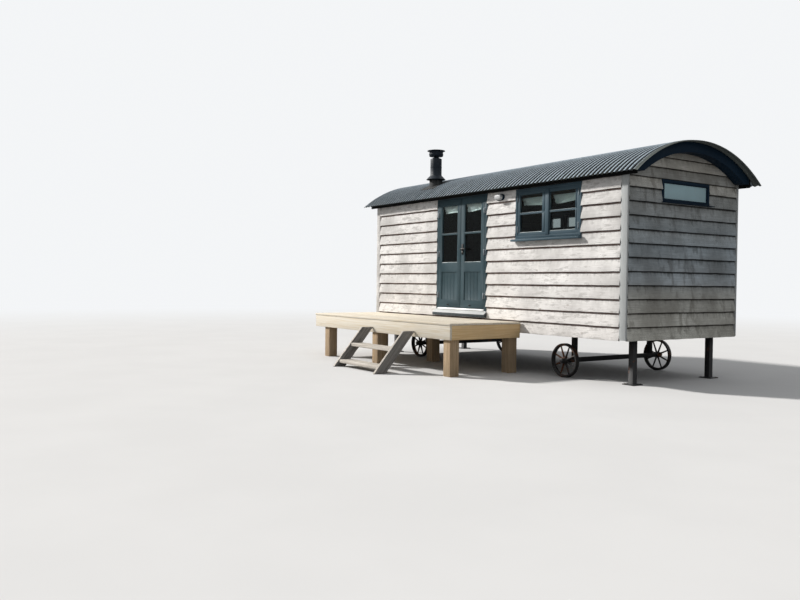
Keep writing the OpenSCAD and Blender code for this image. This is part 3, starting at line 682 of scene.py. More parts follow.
def lay_grain(sheet: Sheet, given: Given) -> dict[str, Socket]:
    """Sawn timber: fibres, growth rings and knots along X, each board with its own figure.

    Args:
        sheet: The group's sheet.
        given: What the group takes.

    Returns:
        What it puts out, by name.
    """
    offset = sheet.vector("SCALE", (37.0, 11.0, 53.0), given["Plank"])
    own = sheet.vector("ADD", given["Vector"], offset)
    sized = sheet.vector("SCALE", own, given["Coarseness"])
    fibre = sheet.noise(sheet.stretch(sized, (5.0, 170.0, 170.0)), detail=5.0, roughness=0.7)
    slow = sheet.noise(sheet.stretch(sized, (0.35, 14.0, 14.0)), detail=2.0, distortion=0.3)
    rings = sheet.level(sheet.math("SINE", sheet.times(slow, 60.0)), -1.0, 1.0)
    cells = sheet.add("TexVoronoi", {"Vector": sheet.stretch(own, (4.0, 8.0, 8.0)),
                                     "Scale": 1.0, "Randomness": 1.0}).outputs
    lot = sheet.add("SeparateColor", {0: cells["Color"]}).outputs[0]
    knots = sheet.times(sheet.level(cells["Distance"], 0.13, 0.06),
                        sheet.math("GREATER_THAN", lot, 0.62))
    tone = sheet.add("TexWhiteNoise", {"W": given["Plank"]}, noise_dimensions="1D")
    height = sheet.math("SUBTRACT", sheet.plus(fibre, sheet.times(rings, 0.25)),
                        sheet.times(knots, 0.4))
    return {"Fibre": fibre, "Rings": rings, "Knots": knots, "Tone": tone.outputs["Value"],
            "Height": height}


def lay_soiling(sheet: Sheet, given: Given) -> dict[str, Socket]:
    """Patches, drips and specks that any outdoor surface collects.

    Args:
        sheet: The group's sheet.
        given: What the group takes.

    Returns:
        What it puts out, by name.
    """
    sized = sheet.vector("SCALE", given["Vector"], given["Size"])
    drips = sheet.noise(sheet.stretch(sized, (26.0, 26.0, 2.2)), detail=4.0)
    return {"Patches": sheet.level(sheet.noise(sized, 1.7, 5.0, 0.6), 0.35, 0.7),
            "Drips": sheet.level(drips, 0.42, 0.75),
            "Specks": sheet.level(sheet.noise(sized, 95.0, detail=2.0), 0.62, 0.75)}


GRAIN = new_group("timber_grain", {"Vector": None, "Plank": 0.0, "Coarseness": 1.0}, lay_grain,
                  ("Fibre", "Rings", "Knots", "Tone", "Height"))
SOILING = new_group("soiling", {"Vector": None, "Size": 1.0}, lay_soiling,
                    ("Patches", "Drips", "Specks"))


# Finishes


def shaded(colour: Colour, factor: float) -> Colour:
    """A colour made darker or lighter."""
    return tuple(min(1.0, c * factor) for c in colour)


@dataclass(frozen=True)
class Finish:
    """A finish, made into a material when a piece first needs it."""

    name: str

    def inputs(self, sheet: Sheet, place: Socket) -> dict[str, object]:
        """Lays out the finish.

        Args:
            sheet: The material's sheet.
            place: The point being shaded.

        Returns:
            Inputs of the shader by name.
        """
        raise NotImplementedError


@cache
def material_of(finish: Finish) -> bpy.types.Material:
    """Makes the material of a finish, once.

    Args:
        finish: The finish.

    Returns:
        Its material.
    """
    material = bpy.data.materials.new(finish.name)
    material.use_nodes = True
    sheet = Sheet(material.node_tree)
    shader = material.node_tree.nodes["Principled BSDF"]
    sheet.feed(shader, finish.inputs(sheet, sheet.place()))
    return material


def blend_shader(sheet: Sheet, factor: Socket, other: Socket) -> None:
    """Puts a second shader beside a material's own by a factor.

    Args:
        sheet: The material's sheet.
        factor: How much the second one shows.
        other: The second shader.
    """
    nodes = sheet.tree.nodes
    both = sheet.add("MixShader", {0: factor, 1: nodes["Principled BSDF"].outputs[0], 2: other})
    sheet.feed(nodes["Material Output"], {0: both.outputs[0]})


@dataclass(frozen=True)
class Timber(Finish):
    """Bare timber, from fresh sawn to silvered by the weather."""

    pale: Colour
    dark: Colour
    knot: Colour
    stain: Colour
    along: Axis = Axis.X
    stain_amount: float = 0.3
    tone_spread: float = 0.3
    fibre_depth: float = 0.0012
    saw_depth: float = 0.0
    coarseness: float = 1.0
    roughness: float = 0.85
    ring_amount: float = 0.25
    knot_amount: float = 0.8
    # Colour of the painted shade and dirt under each lap; None for boards without laps.
    lap_shade_and_dirt: Colour | None = None
    drip_amount: float = 0.3
    cloud_size: Point = (2.2, 8.0, 8.0)
    height_tint: Stops = ()
    tint_height: float = 3.3
    tilt: float = 0.0

    def inputs(self, sheet: Sheet, place: Socket) -> dict[str, object]:
        """Lays out grain, stains, the painted shade under the laps, a tint by height and saw
        marks, as Finish says.
        """
        if self.tilt:
            laid = sheet.stretch(sheet.stretch(place, turn=(self.tilt, 0.0, 0.0)),
                                 turn=Axis.Z.turn_to_x)
        else:
            laid = sheet.stretch(place, turn=self.along.turn_to_x)
        grain = sheet.add("Group", {"Vector": laid, "Plank": sheet.attribute("plank"),
                                    "Coarseness": self.coarseness}, node_tree=GRAIN).outputs
        soil = sheet.soil(place, 1.0)
        lines = sheet.plus(sheet.times(grain["Fibre"], 1.0 - self.ring_amount),
                           sheet.times(grain["Rings"], self.ring_amount))
        colour = sheet.ramp(lines, ((0.25, self.dark), (0.62, self.pale)))
        colour = sheet.mix(sheet.times(grain["Knots"], self.knot_amount), colour, self.knot)
        clouds = sheet.noise(sheet.stretch(laid, self.cloud_size), detail=5.0, roughness=0.65)
        stains = sheet.math("MAXIMUM", soil["Patches"], sheet.level(clouds, 0.46, 0.64))
        colour = sheet.mix(sheet.times(stains, self.stain_amount), colour, self.stain)
        shade = sheet.level(grain["Tone"], 0.0, 1.0, (1.0 - self.tone_spread, 1.0))
        if self.lap_shade_and_dirt:
            shade, colour = self.lapped(sheet, laid, soil["Drips"], shade, colour)
        # Tints the colour by height; on the right end's boards this is partly painted shade.
        if self.height_tint:
            height = sheet.plus(sheet.part(place, Axis.Z), sheet.times(grain["Tone"], 0.3))
            part = sheet.math("DIVIDE", height, self.tint_height)
            colour = sheet.mix(1.0, colour, sheet.ramp(part, self.height_tint), "MULTIPLY")
        colour = sheet.mix(1.0, colour, sheet.grey(shade), "MULTIPLY")
        normal = sheet.bump(grain["Height"], self.fibre_depth)
        if self.saw_depth:
            saw = sheet.noise(sheet.stretch(laid, (420.0, 6.0, 6.0)), detail=2.0)
            normal = sheet.bump(saw, self.saw_depth, Normal=normal)
        rough = (min(1.0, self.roughness + 0.1), self.roughness - 0.08)
        return {"Base Color": colour, "Roughness": sheet.level(grain["Fibre"], 0.2, 0.8, rough),
                "Normal": normal, "Specular IOR Level": 0.25}

    def lapped(self, sheet: Sheet, laid: Socket, drips: Socket, shade: Socket,
               colour: Socket) -> tuple[Socket, Socket]:
        """Adds painted shade and dirt under each lap, and the drips that start there.

        Args:
            sheet: The material's sheet.
            laid: The point being shaded, with the grain along X.
            drips: Mask of upright drips.
            shade: Factor of the board's tone.
            colour: The board's colour.

        Returns:
            The new shade and colour.
        """
        rise = sheet.attribute("rise")
        wet = sheet.times(drips, sheet.level(rise, 0.3, 1.0))
        shade = sheet.times(shade, sheet.math("SUBTRACT", 1.0, sheet.times(wet, self.drip_amount)))
        ragged = sheet.plus(rise, sheet.times(sheet.noise(laid, 9.0), 0.12))
        # Painted shade and dirt: a dark brown band under the lap above.
        under = sheet.times(sheet.level(ragged, 0.83, 0.95), 0.85)
        colour = sheet.mix(under, colour, self.lap_shade_and_dirt)
        # Painted shadow: a near black band right under the lap.
        deep = sheet.times(sheet.level(rise, 0.88, 0.945), 0.85)
        return shade, sheet.mix(deep, colour, shaded(self.lap_shade_and_dirt, 0.25))


@dataclass(frozen=True)
class Paint(Finish):
    """Brushed or sprayed paint, with dust, drips and worn spots."""

    colour: Colour
    worn: Colour
    dust: Colour = (0.3, 0.3, 0.28)
    roughness: float = 0.5
    wear: float = 0.15
    dust_amount: float = 0.1
    brush_depth: float = 0.0003
    along: Axis = Axis.Z
    specular: float = 0.3

    def inputs(self, sheet: Sheet, place: Socket) -> dict[str, object]:
        """Lays out the coat, what wore it and what lies on it, as Finish says."""
        soil = sheet.soil(place, 1.6)
        laid = sheet.stretch(place, turn=self.along.turn_to_x)
        brush = sheet.noise(sheet.stretch(laid, (7.0, 260.0, 260.0)), detail=3.0)
        tone = sheet.ramp(sheet.noise(place, 2.3, detail=3.0), (
            (0.3, shaded(self.colour, 0.86)), (0.7, shaded(self.colour, 1.12))))
        colour = sheet.mix(sheet.times(soil["Specks"], self.wear), tone, self.worn)
        dusty = sheet.times(sheet.plus(soil["Patches"], soil["Drips"]), self.dust_amount)
        rough = (self.roughness - 0.06, min(1.0, self.roughness + 0.22))
        return {"Base Color": sheet.mix(dusty, colour, self.dust),
                "Roughness": sheet.level(sheet.plus(soil["Patches"], brush), 0.3, 1.5, rough),
                "Specular IOR Level": self.specular,
                "Normal": sheet.bump(brush, self.brush_depth)}


@dataclass(frozen=True)
class Ribbed(Finish):
    """Coated steel sheet: painted highlight on its crests, painted shade in its valleys."""

    crest: Colour
    valley: Colour
    moss: Colour = (0.05, 0.058, 0.04)
    lichen: Colour = (0.3, 0.31, 0.3)
    roughness: float = 0.42

    def inputs(self, sheet: Sheet, place: Socket) -> dict[str, object]:
        """Lays out the waves with their painted highlight, which thins to the left, and moss, as
        Finish says.
        """
        soil = sheet.soil(place, 1.3)
        along = sheet.part(place, Axis.X)
        wave = sheet.math("COSINE", sheet.times(along, 2 * math.pi / PLAN.sheet_pitch))
        uneven = sheet.noise(sheet.stretch(place, (13.0, 1.5, 1.5)))
        wave = sheet.plus(wave, sheet.times(sheet.math("SUBTRACT", uneven, 0.5), 0.6))
        # Painted highlight on the crests, fading towards the left; painted shade in the valleys.
        crest_highlight = sheet.times(sheet.level(wave, 0.0, 1.1), sheet.level(along, -4.0, 1.5, (0.6, 1.0)))
        colour = sheet.mix(crest_highlight, self.valley, self.crest)
        damp = sheet.times(soil["Patches"], sheet.level(wave, 0.6, -0.6, (0.0, 0.4)))
        colour = sheet.mix(damp, colour, self.moss)
        colour = sheet.mix(sheet.times(soil["Specks"], 0.12), colour, self.lichen)
        streaks = sheet.noise(sheet.stretch(place, (60.0, 1.2, 1.2)), detail=3.0)
        rough = (self.roughness, self.roughness + 0.25)
        return {"Base Color": colour, "Specular IOR Level": 0.2,
                "Roughness": sheet.level(sheet.plus(streaks, soil["Patches"]), 0.2, 1.4, rough),
                "Normal": sheet.bump(soil["Specks"], 0.0001)}


@dataclass(frozen=True)
class Rusty(Finish):
    """Painted iron or steel with rust that breaks through."""

    paint: Colour
    rust: Colour = (0.19, 0.075, 0.03)
    amount: float = 0.5
    cast_depth: float = 0.0008

    def inputs(self, sheet: Sheet, place: Socket) -> dict[str, object]:
        """Lays out the paint and the rust, as Finish says."""
        fine = sheet.noise(place, 60.0, 6.0, 0.65)
        broken = sheet.plus(sheet.times(sheet.soil(place, 3.0)["Patches"], 0.6),
                            sheet.times(fine, 0.7))
        sound = 1.05 - self.amount * 0.7
        mask = sheet.level(broken, sound, sound + 0.2)
        rust = sheet.ramp(fine, ((0.3, shaded(self.rust, 0.45)), (0.7, self.rust)))
        return {"Base Color": sheet.mix(mask, self.paint, rust),
                "Roughness": sheet.level(mask, 0.0, 1.0, (0.45, 0.95)),
                "Normal": sheet.bump(fine, self.cast_depth)}


@dataclass(frozen=True)
class BrightMetal(Finish):
    """Bare metal with brush marks and a thin film of dirt."""

    colour: Colour
    roughness: float = 0.45
    along: Axis = Axis.X
    dirt: float = 0.25

    def inputs(self, sheet: Sheet, place: Socket) -> dict[str, object]:
        """Lays out the brush marks and the film, as Finish says."""
        laid = sheet.stretch(place, turn=self.along.turn_to_x)
        brush = sheet.noise(sheet.stretch(laid, (9.0, 900.0, 900.0)), detail=3.0)
        film = sheet.times(sheet.soil(place, 5.0)["Patches"], self.dirt)
        rough = (self.roughness, self.roughness + 0.35)
        return {"Base Color": sheet.mix(film, self.colour, (0.12, 0.11, 0.1)), "Metallic": 1.0,
                "Roughness": sheet.level(sheet.plus(brush, film), 0.3, 1.2, rough),
                "Normal": sheet.bump(brush, 0.0001)}


@dataclass(frozen=True)
class ClearGlass(Finish):
    """Window glass that lets the sun through."""

    colour: Colour

    def inputs(self, sheet: Sheet, place: Socket) -> dict[str, object]:
        """Lays out the smears and lets shadow rays pass, as Finish says."""
        clear = sheet.add("BsdfTransparent", {"Color": self.colour}).outputs[0]
        blend_shader(sheet, sheet.add("LightPath").outputs["Is Shadow Ray"], clear)
        smears = sheet.level(sheet.noise(place, 6.0), 0.4, 0.8, (0.0, 0.05))
        return {"Base Color": self.colour, "Roughness": smears, "Transmission Weight": 1.0,
                "IOR": 1.3, "Specular IOR Level": 0.15}


@dataclass(frozen=True)
class FrostedGlass(Finish):
    """Glass with a rough face."""

    colour: Colour

    def inputs(self, sheet: Sheet, place: Socket) -> dict[str, object]:
        """Lays out the frost and the dirt on it, as Finish says."""
        dirt = sheet.times(sheet.soil(place, 2.0)["Patches"], 0.35)
        return {"Base Color": sheet.mix(dirt, self.colour, shaded(self.colour, 0.7)),
                "Roughness": 0.5, "Transmission Weight": 0.35,
                "Normal": sheet.bump(sheet.noise(place, 260.0, detail=3.0), 0.0006)}


@dataclass(frozen=True)
class Cloth(Finish):
    """Plain woven cloth."""

    colour: Colour
    threads: float = 1400.0

    def inputs(self, sheet: Sheet, place: Socket) -> dict[str, object]:
        """Lays out warp and weft over the cloth's own map, as Finish says."""
        axes = sheet.add("SeparateXYZ", {0: sheet.add("UVMap").outputs[0]}).outputs
        warp, weft = (sheet.math("SINE", sheet.times(axes[i], self.threads)) for i in range(2))
        dirt = sheet.times(sheet.soil(place, 4.0)["Patches"], 0.3)
        return {"Base Color": sheet.mix(dirt, self.colour, shaded(self.colour, 0.8)),
                "Roughness": 0.95, "Sheen Weight": 0.3, "Specular IOR Level": 0.1,
                "Normal": sheet.bump(sheet.times(warp, weft), 0.0004)}


@dataclass(frozen=True)
class StudioFloor(Finish):
    """Pale floor that fades into the background, and throws little light back."""

    def inputs(self, sheet: Sheet, place: Socket) -> dict[str, object]:
        """Lays out the floor's tones by kind of ray, as Finish says."""
        path = sheet.add("LightPath").outputs
        cloudy = sheet.level(sheet.noise(place, 0.8, detail=3.0), 0.3, 0.7, (0.97, 1.0))
        tone = sheet.choose(path["Is Glossy Ray"], 0.3, 0.1)
        tone = sheet.times(sheet.choose(path["Is Camera Ray"], tone, 0.72), cloudy)
        away = sheet.add("VectorMath", {0: place}, operation="LENGTH").outputs["Value"]
        fade = sheet.times(sheet.level(away, 7.0, 28.0), path["Is Camera Ray"])
        glow = sheet.add("Emission", {"Color": SKY, "Strength": BACKDROP}).outputs[0]
        blend_shader(sheet, fade, glow)
        return {"Base Color": sheet.grey(tone), "Roughness": 0.9, "Specular IOR Level": 0.1}


SKY = (0.97, 0.985, 1.0)
BACKDROP = 0.93

BOARDS_LONG = Timber(
    "weatherboards_silver", (0.92, 0.905, 0.89), (0.72, 0.7, 0.68), (0.34, 0.27, 0.22),
    (0.4, 0.385, 0.37), stain_amount=0.6, tone_spread=0.1, saw_depth=0.0003, fibre_depth=0.0008,
    ring_amount=0.08, knot_amount=0.5, cloud_size=(6.0, 20.0, 20.0), lap_shade_and_dirt=(0.17, 0.075, 0.05),
    height_tint=((0.27, (0.92, 0.91, 0.9)), (0.4, (1.0, 1.0, 1.0))))
BOARDS_LEFT = replace(BOARDS_LONG, name="weatherboards_left", along=Axis.Y)
CORNER_BLEACHED = replace(BOARDS_LONG, name="corner_boards_bleached", along=Axis.Z, lap_shade_and_dirt=None)
# Boards of the right end, which faces away from the sun: darker than the others, partly their own
# stains and partly painted shade, and tinted by height, paler and browner at the foot and top,
# darker blue-grey in the middle rows.
BOARDS_RIGHT = Timber(
    "weatherboards_aged", (0.85, 0.86, 0.85), (0.48, 0.49, 0.49), (0.17, 0.16, 0.15),
    (0.3, 0.29, 0.27), Axis.Y, stain_amount=0.7, tone_spread=0.4, saw_depth=0.0006,
    ring_amount=0.08, knot_amount=0.4, cloud_size=(7.0, 7.0, 3.0),
    lap_shade_and_dirt=(0.05, 0.042, 0.035), drip_amount=0.4,
    height_tint=((0.2, (1.0, 0.98, 0.9)), (0.36, (0.94, 0.93, 0.88)), (0.47, (0.64, 0.7, 0.76)),
                (0.6, (0.58, 0.66, 0.73)), (0.74, (0.75, 0.78, 0.79)), (0.88, (0.86, 0.83, 0.77))))
CORNER = Timber(
    "corner_boards_silver", (0.51, 0.535, 0.54), (0.37, 0.39, 0.395), (0.22, 0.2, 0.17),
    (0.34, 0.34, 0.33), Axis.Z, stain_amount=0.25, tone_spread=0.08, coarseness=1.3,
    fibre_depth=0.0006, ring_amount=0.1, knot_amount=0.3)
DECK_LONG = Timber(
    "deck_timber", (0.87, 0.81, 0.7), (0.76, 0.66, 0.5), (0.3, 0.16, 0.07), (0.76, 0.69, 0.58),
    tone_spread=0.1, saw_depth=0.0003, ring_amount=0.35, knot_amount=0.75)
# Deck timber with its grain across the hut, warmer and brighter than DECK_LONG; on the fascia's
# side away from the sun it is painted bounce light.
DECK_ACROSS = Timber(
    "deck_timber_across", (0.95, 0.7, 0.39), (0.82, 0.56, 0.28), (0.24, 0.11, 0.05),
    (0.66, 0.48, 0.28), Axis.Y, stain_amount=0.35, tone_spread=0.1, saw_depth=0.0003,
    ring_amount=0.35)
POST = Timber("post_timber", (0.66, 0.49, 0.31), (0.42, 0.28, 0.16), (0.16, 0.08, 0.04),
              (0.4, 0.31, 0.22), Axis.Z, stain_amount=0.5, saw_depth=0.0008)
STRING = Timber("step_string_timber", (0.3, 0.285, 0.275), (0.1, 0.095, 0.09), (0.07, 0.06, 0.05),
                (0.46, 0.44, 0.41), tilt=math.radians(39.8), fibre_depth=0.003, roughness=0.9)
TREAD = Timber("step_tread_timber", (0.74, 0.69, 0.62), (0.44, 0.4, 0.35), (0.16, 0.11, 0.08),
               (0.4, 0.37, 0.33), stain_amount=0.5, fibre_depth=0.002)
SOFFIT = Timber("roof_boarding_timber", (0.5, 0.38, 0.25), (0.34, 0.24, 0.15),
                (0.14, 0.07, 0.04), (0.25, 0.2, 0.15))
# The lining and the floor inside are near black: painted shade of the hut's dark inside.
LINING = Timber("lining_timber", (0.05, 0.042, 0.026), (0.03, 0.024, 0.015), (0.02, 0.013, 0.01),
                (0.03, 0.024, 0.018), stain_amount=0.15, fibre_depth=0.0005, roughness=0.6)
FLOOR = Timber("floor_timber", (0.09, 0.06, 0.038), (0.055, 0.036, 0.022), (0.03, 0.018, 0.012),
               (0.06, 0.042, 0.03), stain_amount=0.2, fibre_depth=0.0005, roughness=0.5)
JOINERY = Paint("joinery_blue_grey", (0.034, 0.066, 0.082), (0.08, 0.12, 0.14), roughness=0.45,
                wear=0.1, dust_amount=0.012, specular=0.22)
CASEMENT = replace(JOINERY, name="casement_blue_grey", colour=(0.052, 0.092, 0.12))
# Painted highlight on the top of the dark sill.
SILL_HIGHLIGHT = Paint("sill_chalked", (0.54, 0.56, 0.56), (0.4, 0.42, 0.42), wear=0.3, along=Axis.X)
# Painted highlight: a pale coat on the upward faces of the beads and over the glazing bar.
HIGHLIGHT_PAINT = Paint("joinery_chalked", (0.24, 0.29, 0.3), (0.4, 0.42, 0.42), wear=0.4, along=Axis.X)
SILL = Paint("sill_paint", (0.03, 0.043, 0.053), (0.3, 0.3, 0.29), wear=0.3, along=Axis.X,
             specular=0.25)
TRIM = Paint("trim_navy", (0.006, 0.021, 0.042), (0.03, 0.05, 0.07), wear=0.1,
             dust_amount=0.008, along=Axis.X, specular=0.12)
# The eaves boards' paint is near black: partly its own colour, partly painted shade of the sheets'
# overhang.
EAVES = Paint("eaves_near_black", (0.006, 0.0065, 0.0065), (0.04, 0.03, 0.025), roughness=0.55,
              wear=0.1, dust_amount=0.01, along=Axis.X, specular=0.12)
# Painted highlight on the crests and painted shade in the valleys.
ROOF = Ribbed("roof_anthracite", crest=(0.43, 0.515, 0.585), valley=(0.004, 0.006, 0.008))
SHEET_END = Paint("roof_sheet_end", (0.12, 0.137, 0.13), (0.2, 0.21, 0.2))
FLUE = Paint("flue_stove_black", (0.006, 0.013, 0.024), (0.05, 0.055, 0.06),
             dust=(0.1, 0.11, 0.12), roughness=0.4, dust_amount=0.05, specular=0.35)
RUBBER = Paint("flashing_rubber", (0.025, 0.028, 0.032), (0.1, 0.1, 0.1), roughness=0.75,
               dust_amount=0.15)
THRESHOLD = BrightMetal("threshold_aluminium", (0.95, 0.96, 0.97), roughness=0.5, dirt=0.08)
STEEL = BrightMetal("handle_steel", (0.05, 0.052, 0.055), along=Axis.Z)
HINGE = BrightMetal("hinge_zinc", (0.22, 0.26, 0.29), roughness=0.5, along=Axis.Z)
SCREW = BrightMetal("screw_heads", (0.3, 0.29, 0.28), dirt=0.5)
NAIL = Rusty("nail_heads", (0.1, 0.08, 0.07), amount=0.9)
CHASSIS = Rusty("chassis_black", (0.022, 0.023, 0.025), amount=0.42)
IRON = Rusty("wheel_iron", (0.03, 0.029, 0.029), amount=0.55, cast_depth=0.0015)
CLEAR = ClearGlass("clear_panes", (0.82, 0.9, 0.9))
LENS = FrostedGlass("lamp_lens", (0.8, 0.82, 0.83))
FROSTED = FrostedGlass("frosted_pane", (0.58, 0.83, 0.9))
# One cloth in two tones: the window blinds darker as painted shade, the door blinds paler as
# painted light.
WINDOW_BLIND = Cloth("window_blind_cloth", (0.7, 0.75, 0.72))
DOOR_BLIND = Cloth("door_blind_cloth", (0.87, 0.89, 0.88))


def dress(piece: Piece, finish: Finish, slot: str, body: str = ROOT) -> Piece:
    """Gives a piece its finish and its body.

    Args:
        piece: The piece to dress.
        finish: Its finish.
        slot: Not used.
        body: The body that it rides.

    Returns:
        The same piece.
    """
    piece.data.materials.clear()
    piece.data.materials.append(material_of(finish))
    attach(piece, body)
    return piece


def dress_part(piece: Piece, finish: Finish, test: Callable[[Vector, Vector], bool]) -> None:
    """Gives the faces whose middle and normal pass a test another finish.

    Args:
        piece: The piece, dressed before.
        finish: The other finish.
        test: Says by middle and normal whether a face gets it.
    """
    piece.data.materials.append(material_of(finish))
    index = len(piece.data.materials) - 1
    for face in piece.data.polygons:
        if test(face.center, face.normal):
            face.material_index = index


def dress_node(node: str, finish: Finish) -> None:
    """Gives a frame node that stays as it is its finish.

    Args:
        node: The node.
        finish: Its finish.
    """
    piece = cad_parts[node]
    if not piece.material_slots:
        piece.data.materials.append(material_of(finish))
    for material_slot in piece.material_slots:
        material_slot.link = "OBJECT"
        material_slot.material = material_of(finish)


# Shapes that several sub-assemblies share


def hollow(piece: Piece, axis: Axis, width: float) -> None:
    """Opens a slab along an axis, so that a frame of a given width is left."""
    with picking(piece, "FACE", lambda face: abs(face.normal[axis.value]) > 0.9):
        bpy.ops.mesh.inset(thickness=width, use_individual=True)
        bpy.ops.mesh.bridge_edge_loops()


def ring(name: str, low: Sequence[float], high: Sequence[float], widths: Sequence[float],
         axis: Axis, side: float, fall: float) -> Piece:
    """Adds a four sided frame, such as a glazing bead.

    Args:
        name: Name of the piece.
        low: Lowest corner.
        high: Highest corner.
        widths: Widths of its first and last upright and of its foot and head.
        axis: The way that one looks through the frame.
        side: +1 or -1, the side of the frame that one sees.
        fall: How far the seen face falls back towards the opening.

    Returns:
        The frame.
    """
    piece = block(name, low, high)
    hollow(piece, axis, MM)
    for i, pair in zip(axis.others, (widths[:2], widths[2:])):
        for edge, sign, width in ((low[i], 1, pair[0]), (high[i], -1, pair[1])):
            step = [sign * (width - MM) * (i == j) for j in range(3)]
            move(piece, step, lambda vert: abs(vert.co[i] - edge - sign * MM) < HAIR)
    seen = (high if side > 0 else low)[axis.value]
    move(piece, [-side * fall * (axis.value == j) for j in range(3)],
         lambda vert: abs(vert.co[axis.value] - seen) < HAIR and all(
             low[i] + MM < vert.co[i] < high[i] - MM for i in axis.others))
    return piece


def stadium(name: str, low: Sequence[float], high: Sequence[float], radius: float) -> Piece:
    """Adds a slab whose four edges along Y are rounded to a radius.

    Args:
        name: Name of the piece.
        low: Lowest corner.
        high: Highest corner.
        radius: Radius of the rounded edges.

    Returns:
        The slab.
    """
    def runs_along_y(edge: bmesh.types.BMEdge) -> bool:
        """Whether an edge runs along Y."""
        return abs((edge.verts[0].co - edge.verts[1].co).normalized().y) > 0.9
    piece = block(name, low, high)
    with picking(piece, "EDGE", runs_along_y):
        bpy.ops.mesh.bevel(offset=radius * 0.999, segments=14, affect="EDGES")
    return piece


def head(name: str, radius: float, height: float, sides: int = 10) -> Piece:
    """Turns the head of a nail or screw that looks along +Z from the origin."""
    return lathe(name, [(0.0, -2 * MM), (radius, -2 * MM), (radius, height * 0.5),
                        (radius * 0.7, height), (0.0, height)], steps=sides)


def hex_head(name: str, radius: float, height: float) -> Piece:
    """Adds a bolt head on its washer that looks along +Z from the origin.

    Args:
        name: Name of the piece.
        radius: Radius over its corners.
        height: Height of the head.

    Returns:
        The head on its washer.
    """
    bolt = ease(rod(name, Vector(), Vector((0, 0, height)), radius, 6), radius * 0.12, 1)
    washer = lathe(name, [(0.0, -2 * MM), (radius * 1.6, -2 * MM), (radius * 1.6, height * 0.2),
                          (radius * 1.5, height * 0.3), (0.0, height * 0.3)], steps=16)
    return join(name, [bolt, washer])


def facing(place: Sequence[float], towards: Sequence[float], spin: float = 0.0) -> Matrix:
    """A place for something that looks along +Z, turned towards a direction."""
    turn = Vector(towards).to_track_quat("Z", "Y").to_matrix().to_4x4()
    return Matrix.Translation(Vector(place)) @ turn @ Matrix.Rotation(spin, 4, "Z")


class WallSide(Enum):
    """A wall of the hut, drawn along X with +Y outwards and turned to its side."""

    FRONT = math.pi
    BACK = 0.0
    LEFT = math.pi / 2
    RIGHT = -math.pi / 2

    @property
    def is_end(self) -> bool:
        """Whether this is one of the two short walls."""
        return self in (WallSide.LEFT, WallSide.RIGHT)

    @property
    def place(self) -> Matrix:
        """Brings a wall from where it is drawn to its side of the hut."""
        origin = {
            WallSide.FRONT: (0, PLAN.front, 0), WallSide.BACK: (0, PLAN.back, 0),
            WallSide.LEFT: (-PLAN.half_length, PLAN.middle_y, 0),
            WallSide.RIGHT: (PLAN.half_length, PLAN.middle_y, 0)}[self]
        return Matrix.Translation(origin) @ Matrix.Rotation(self.value, 4, "Z")


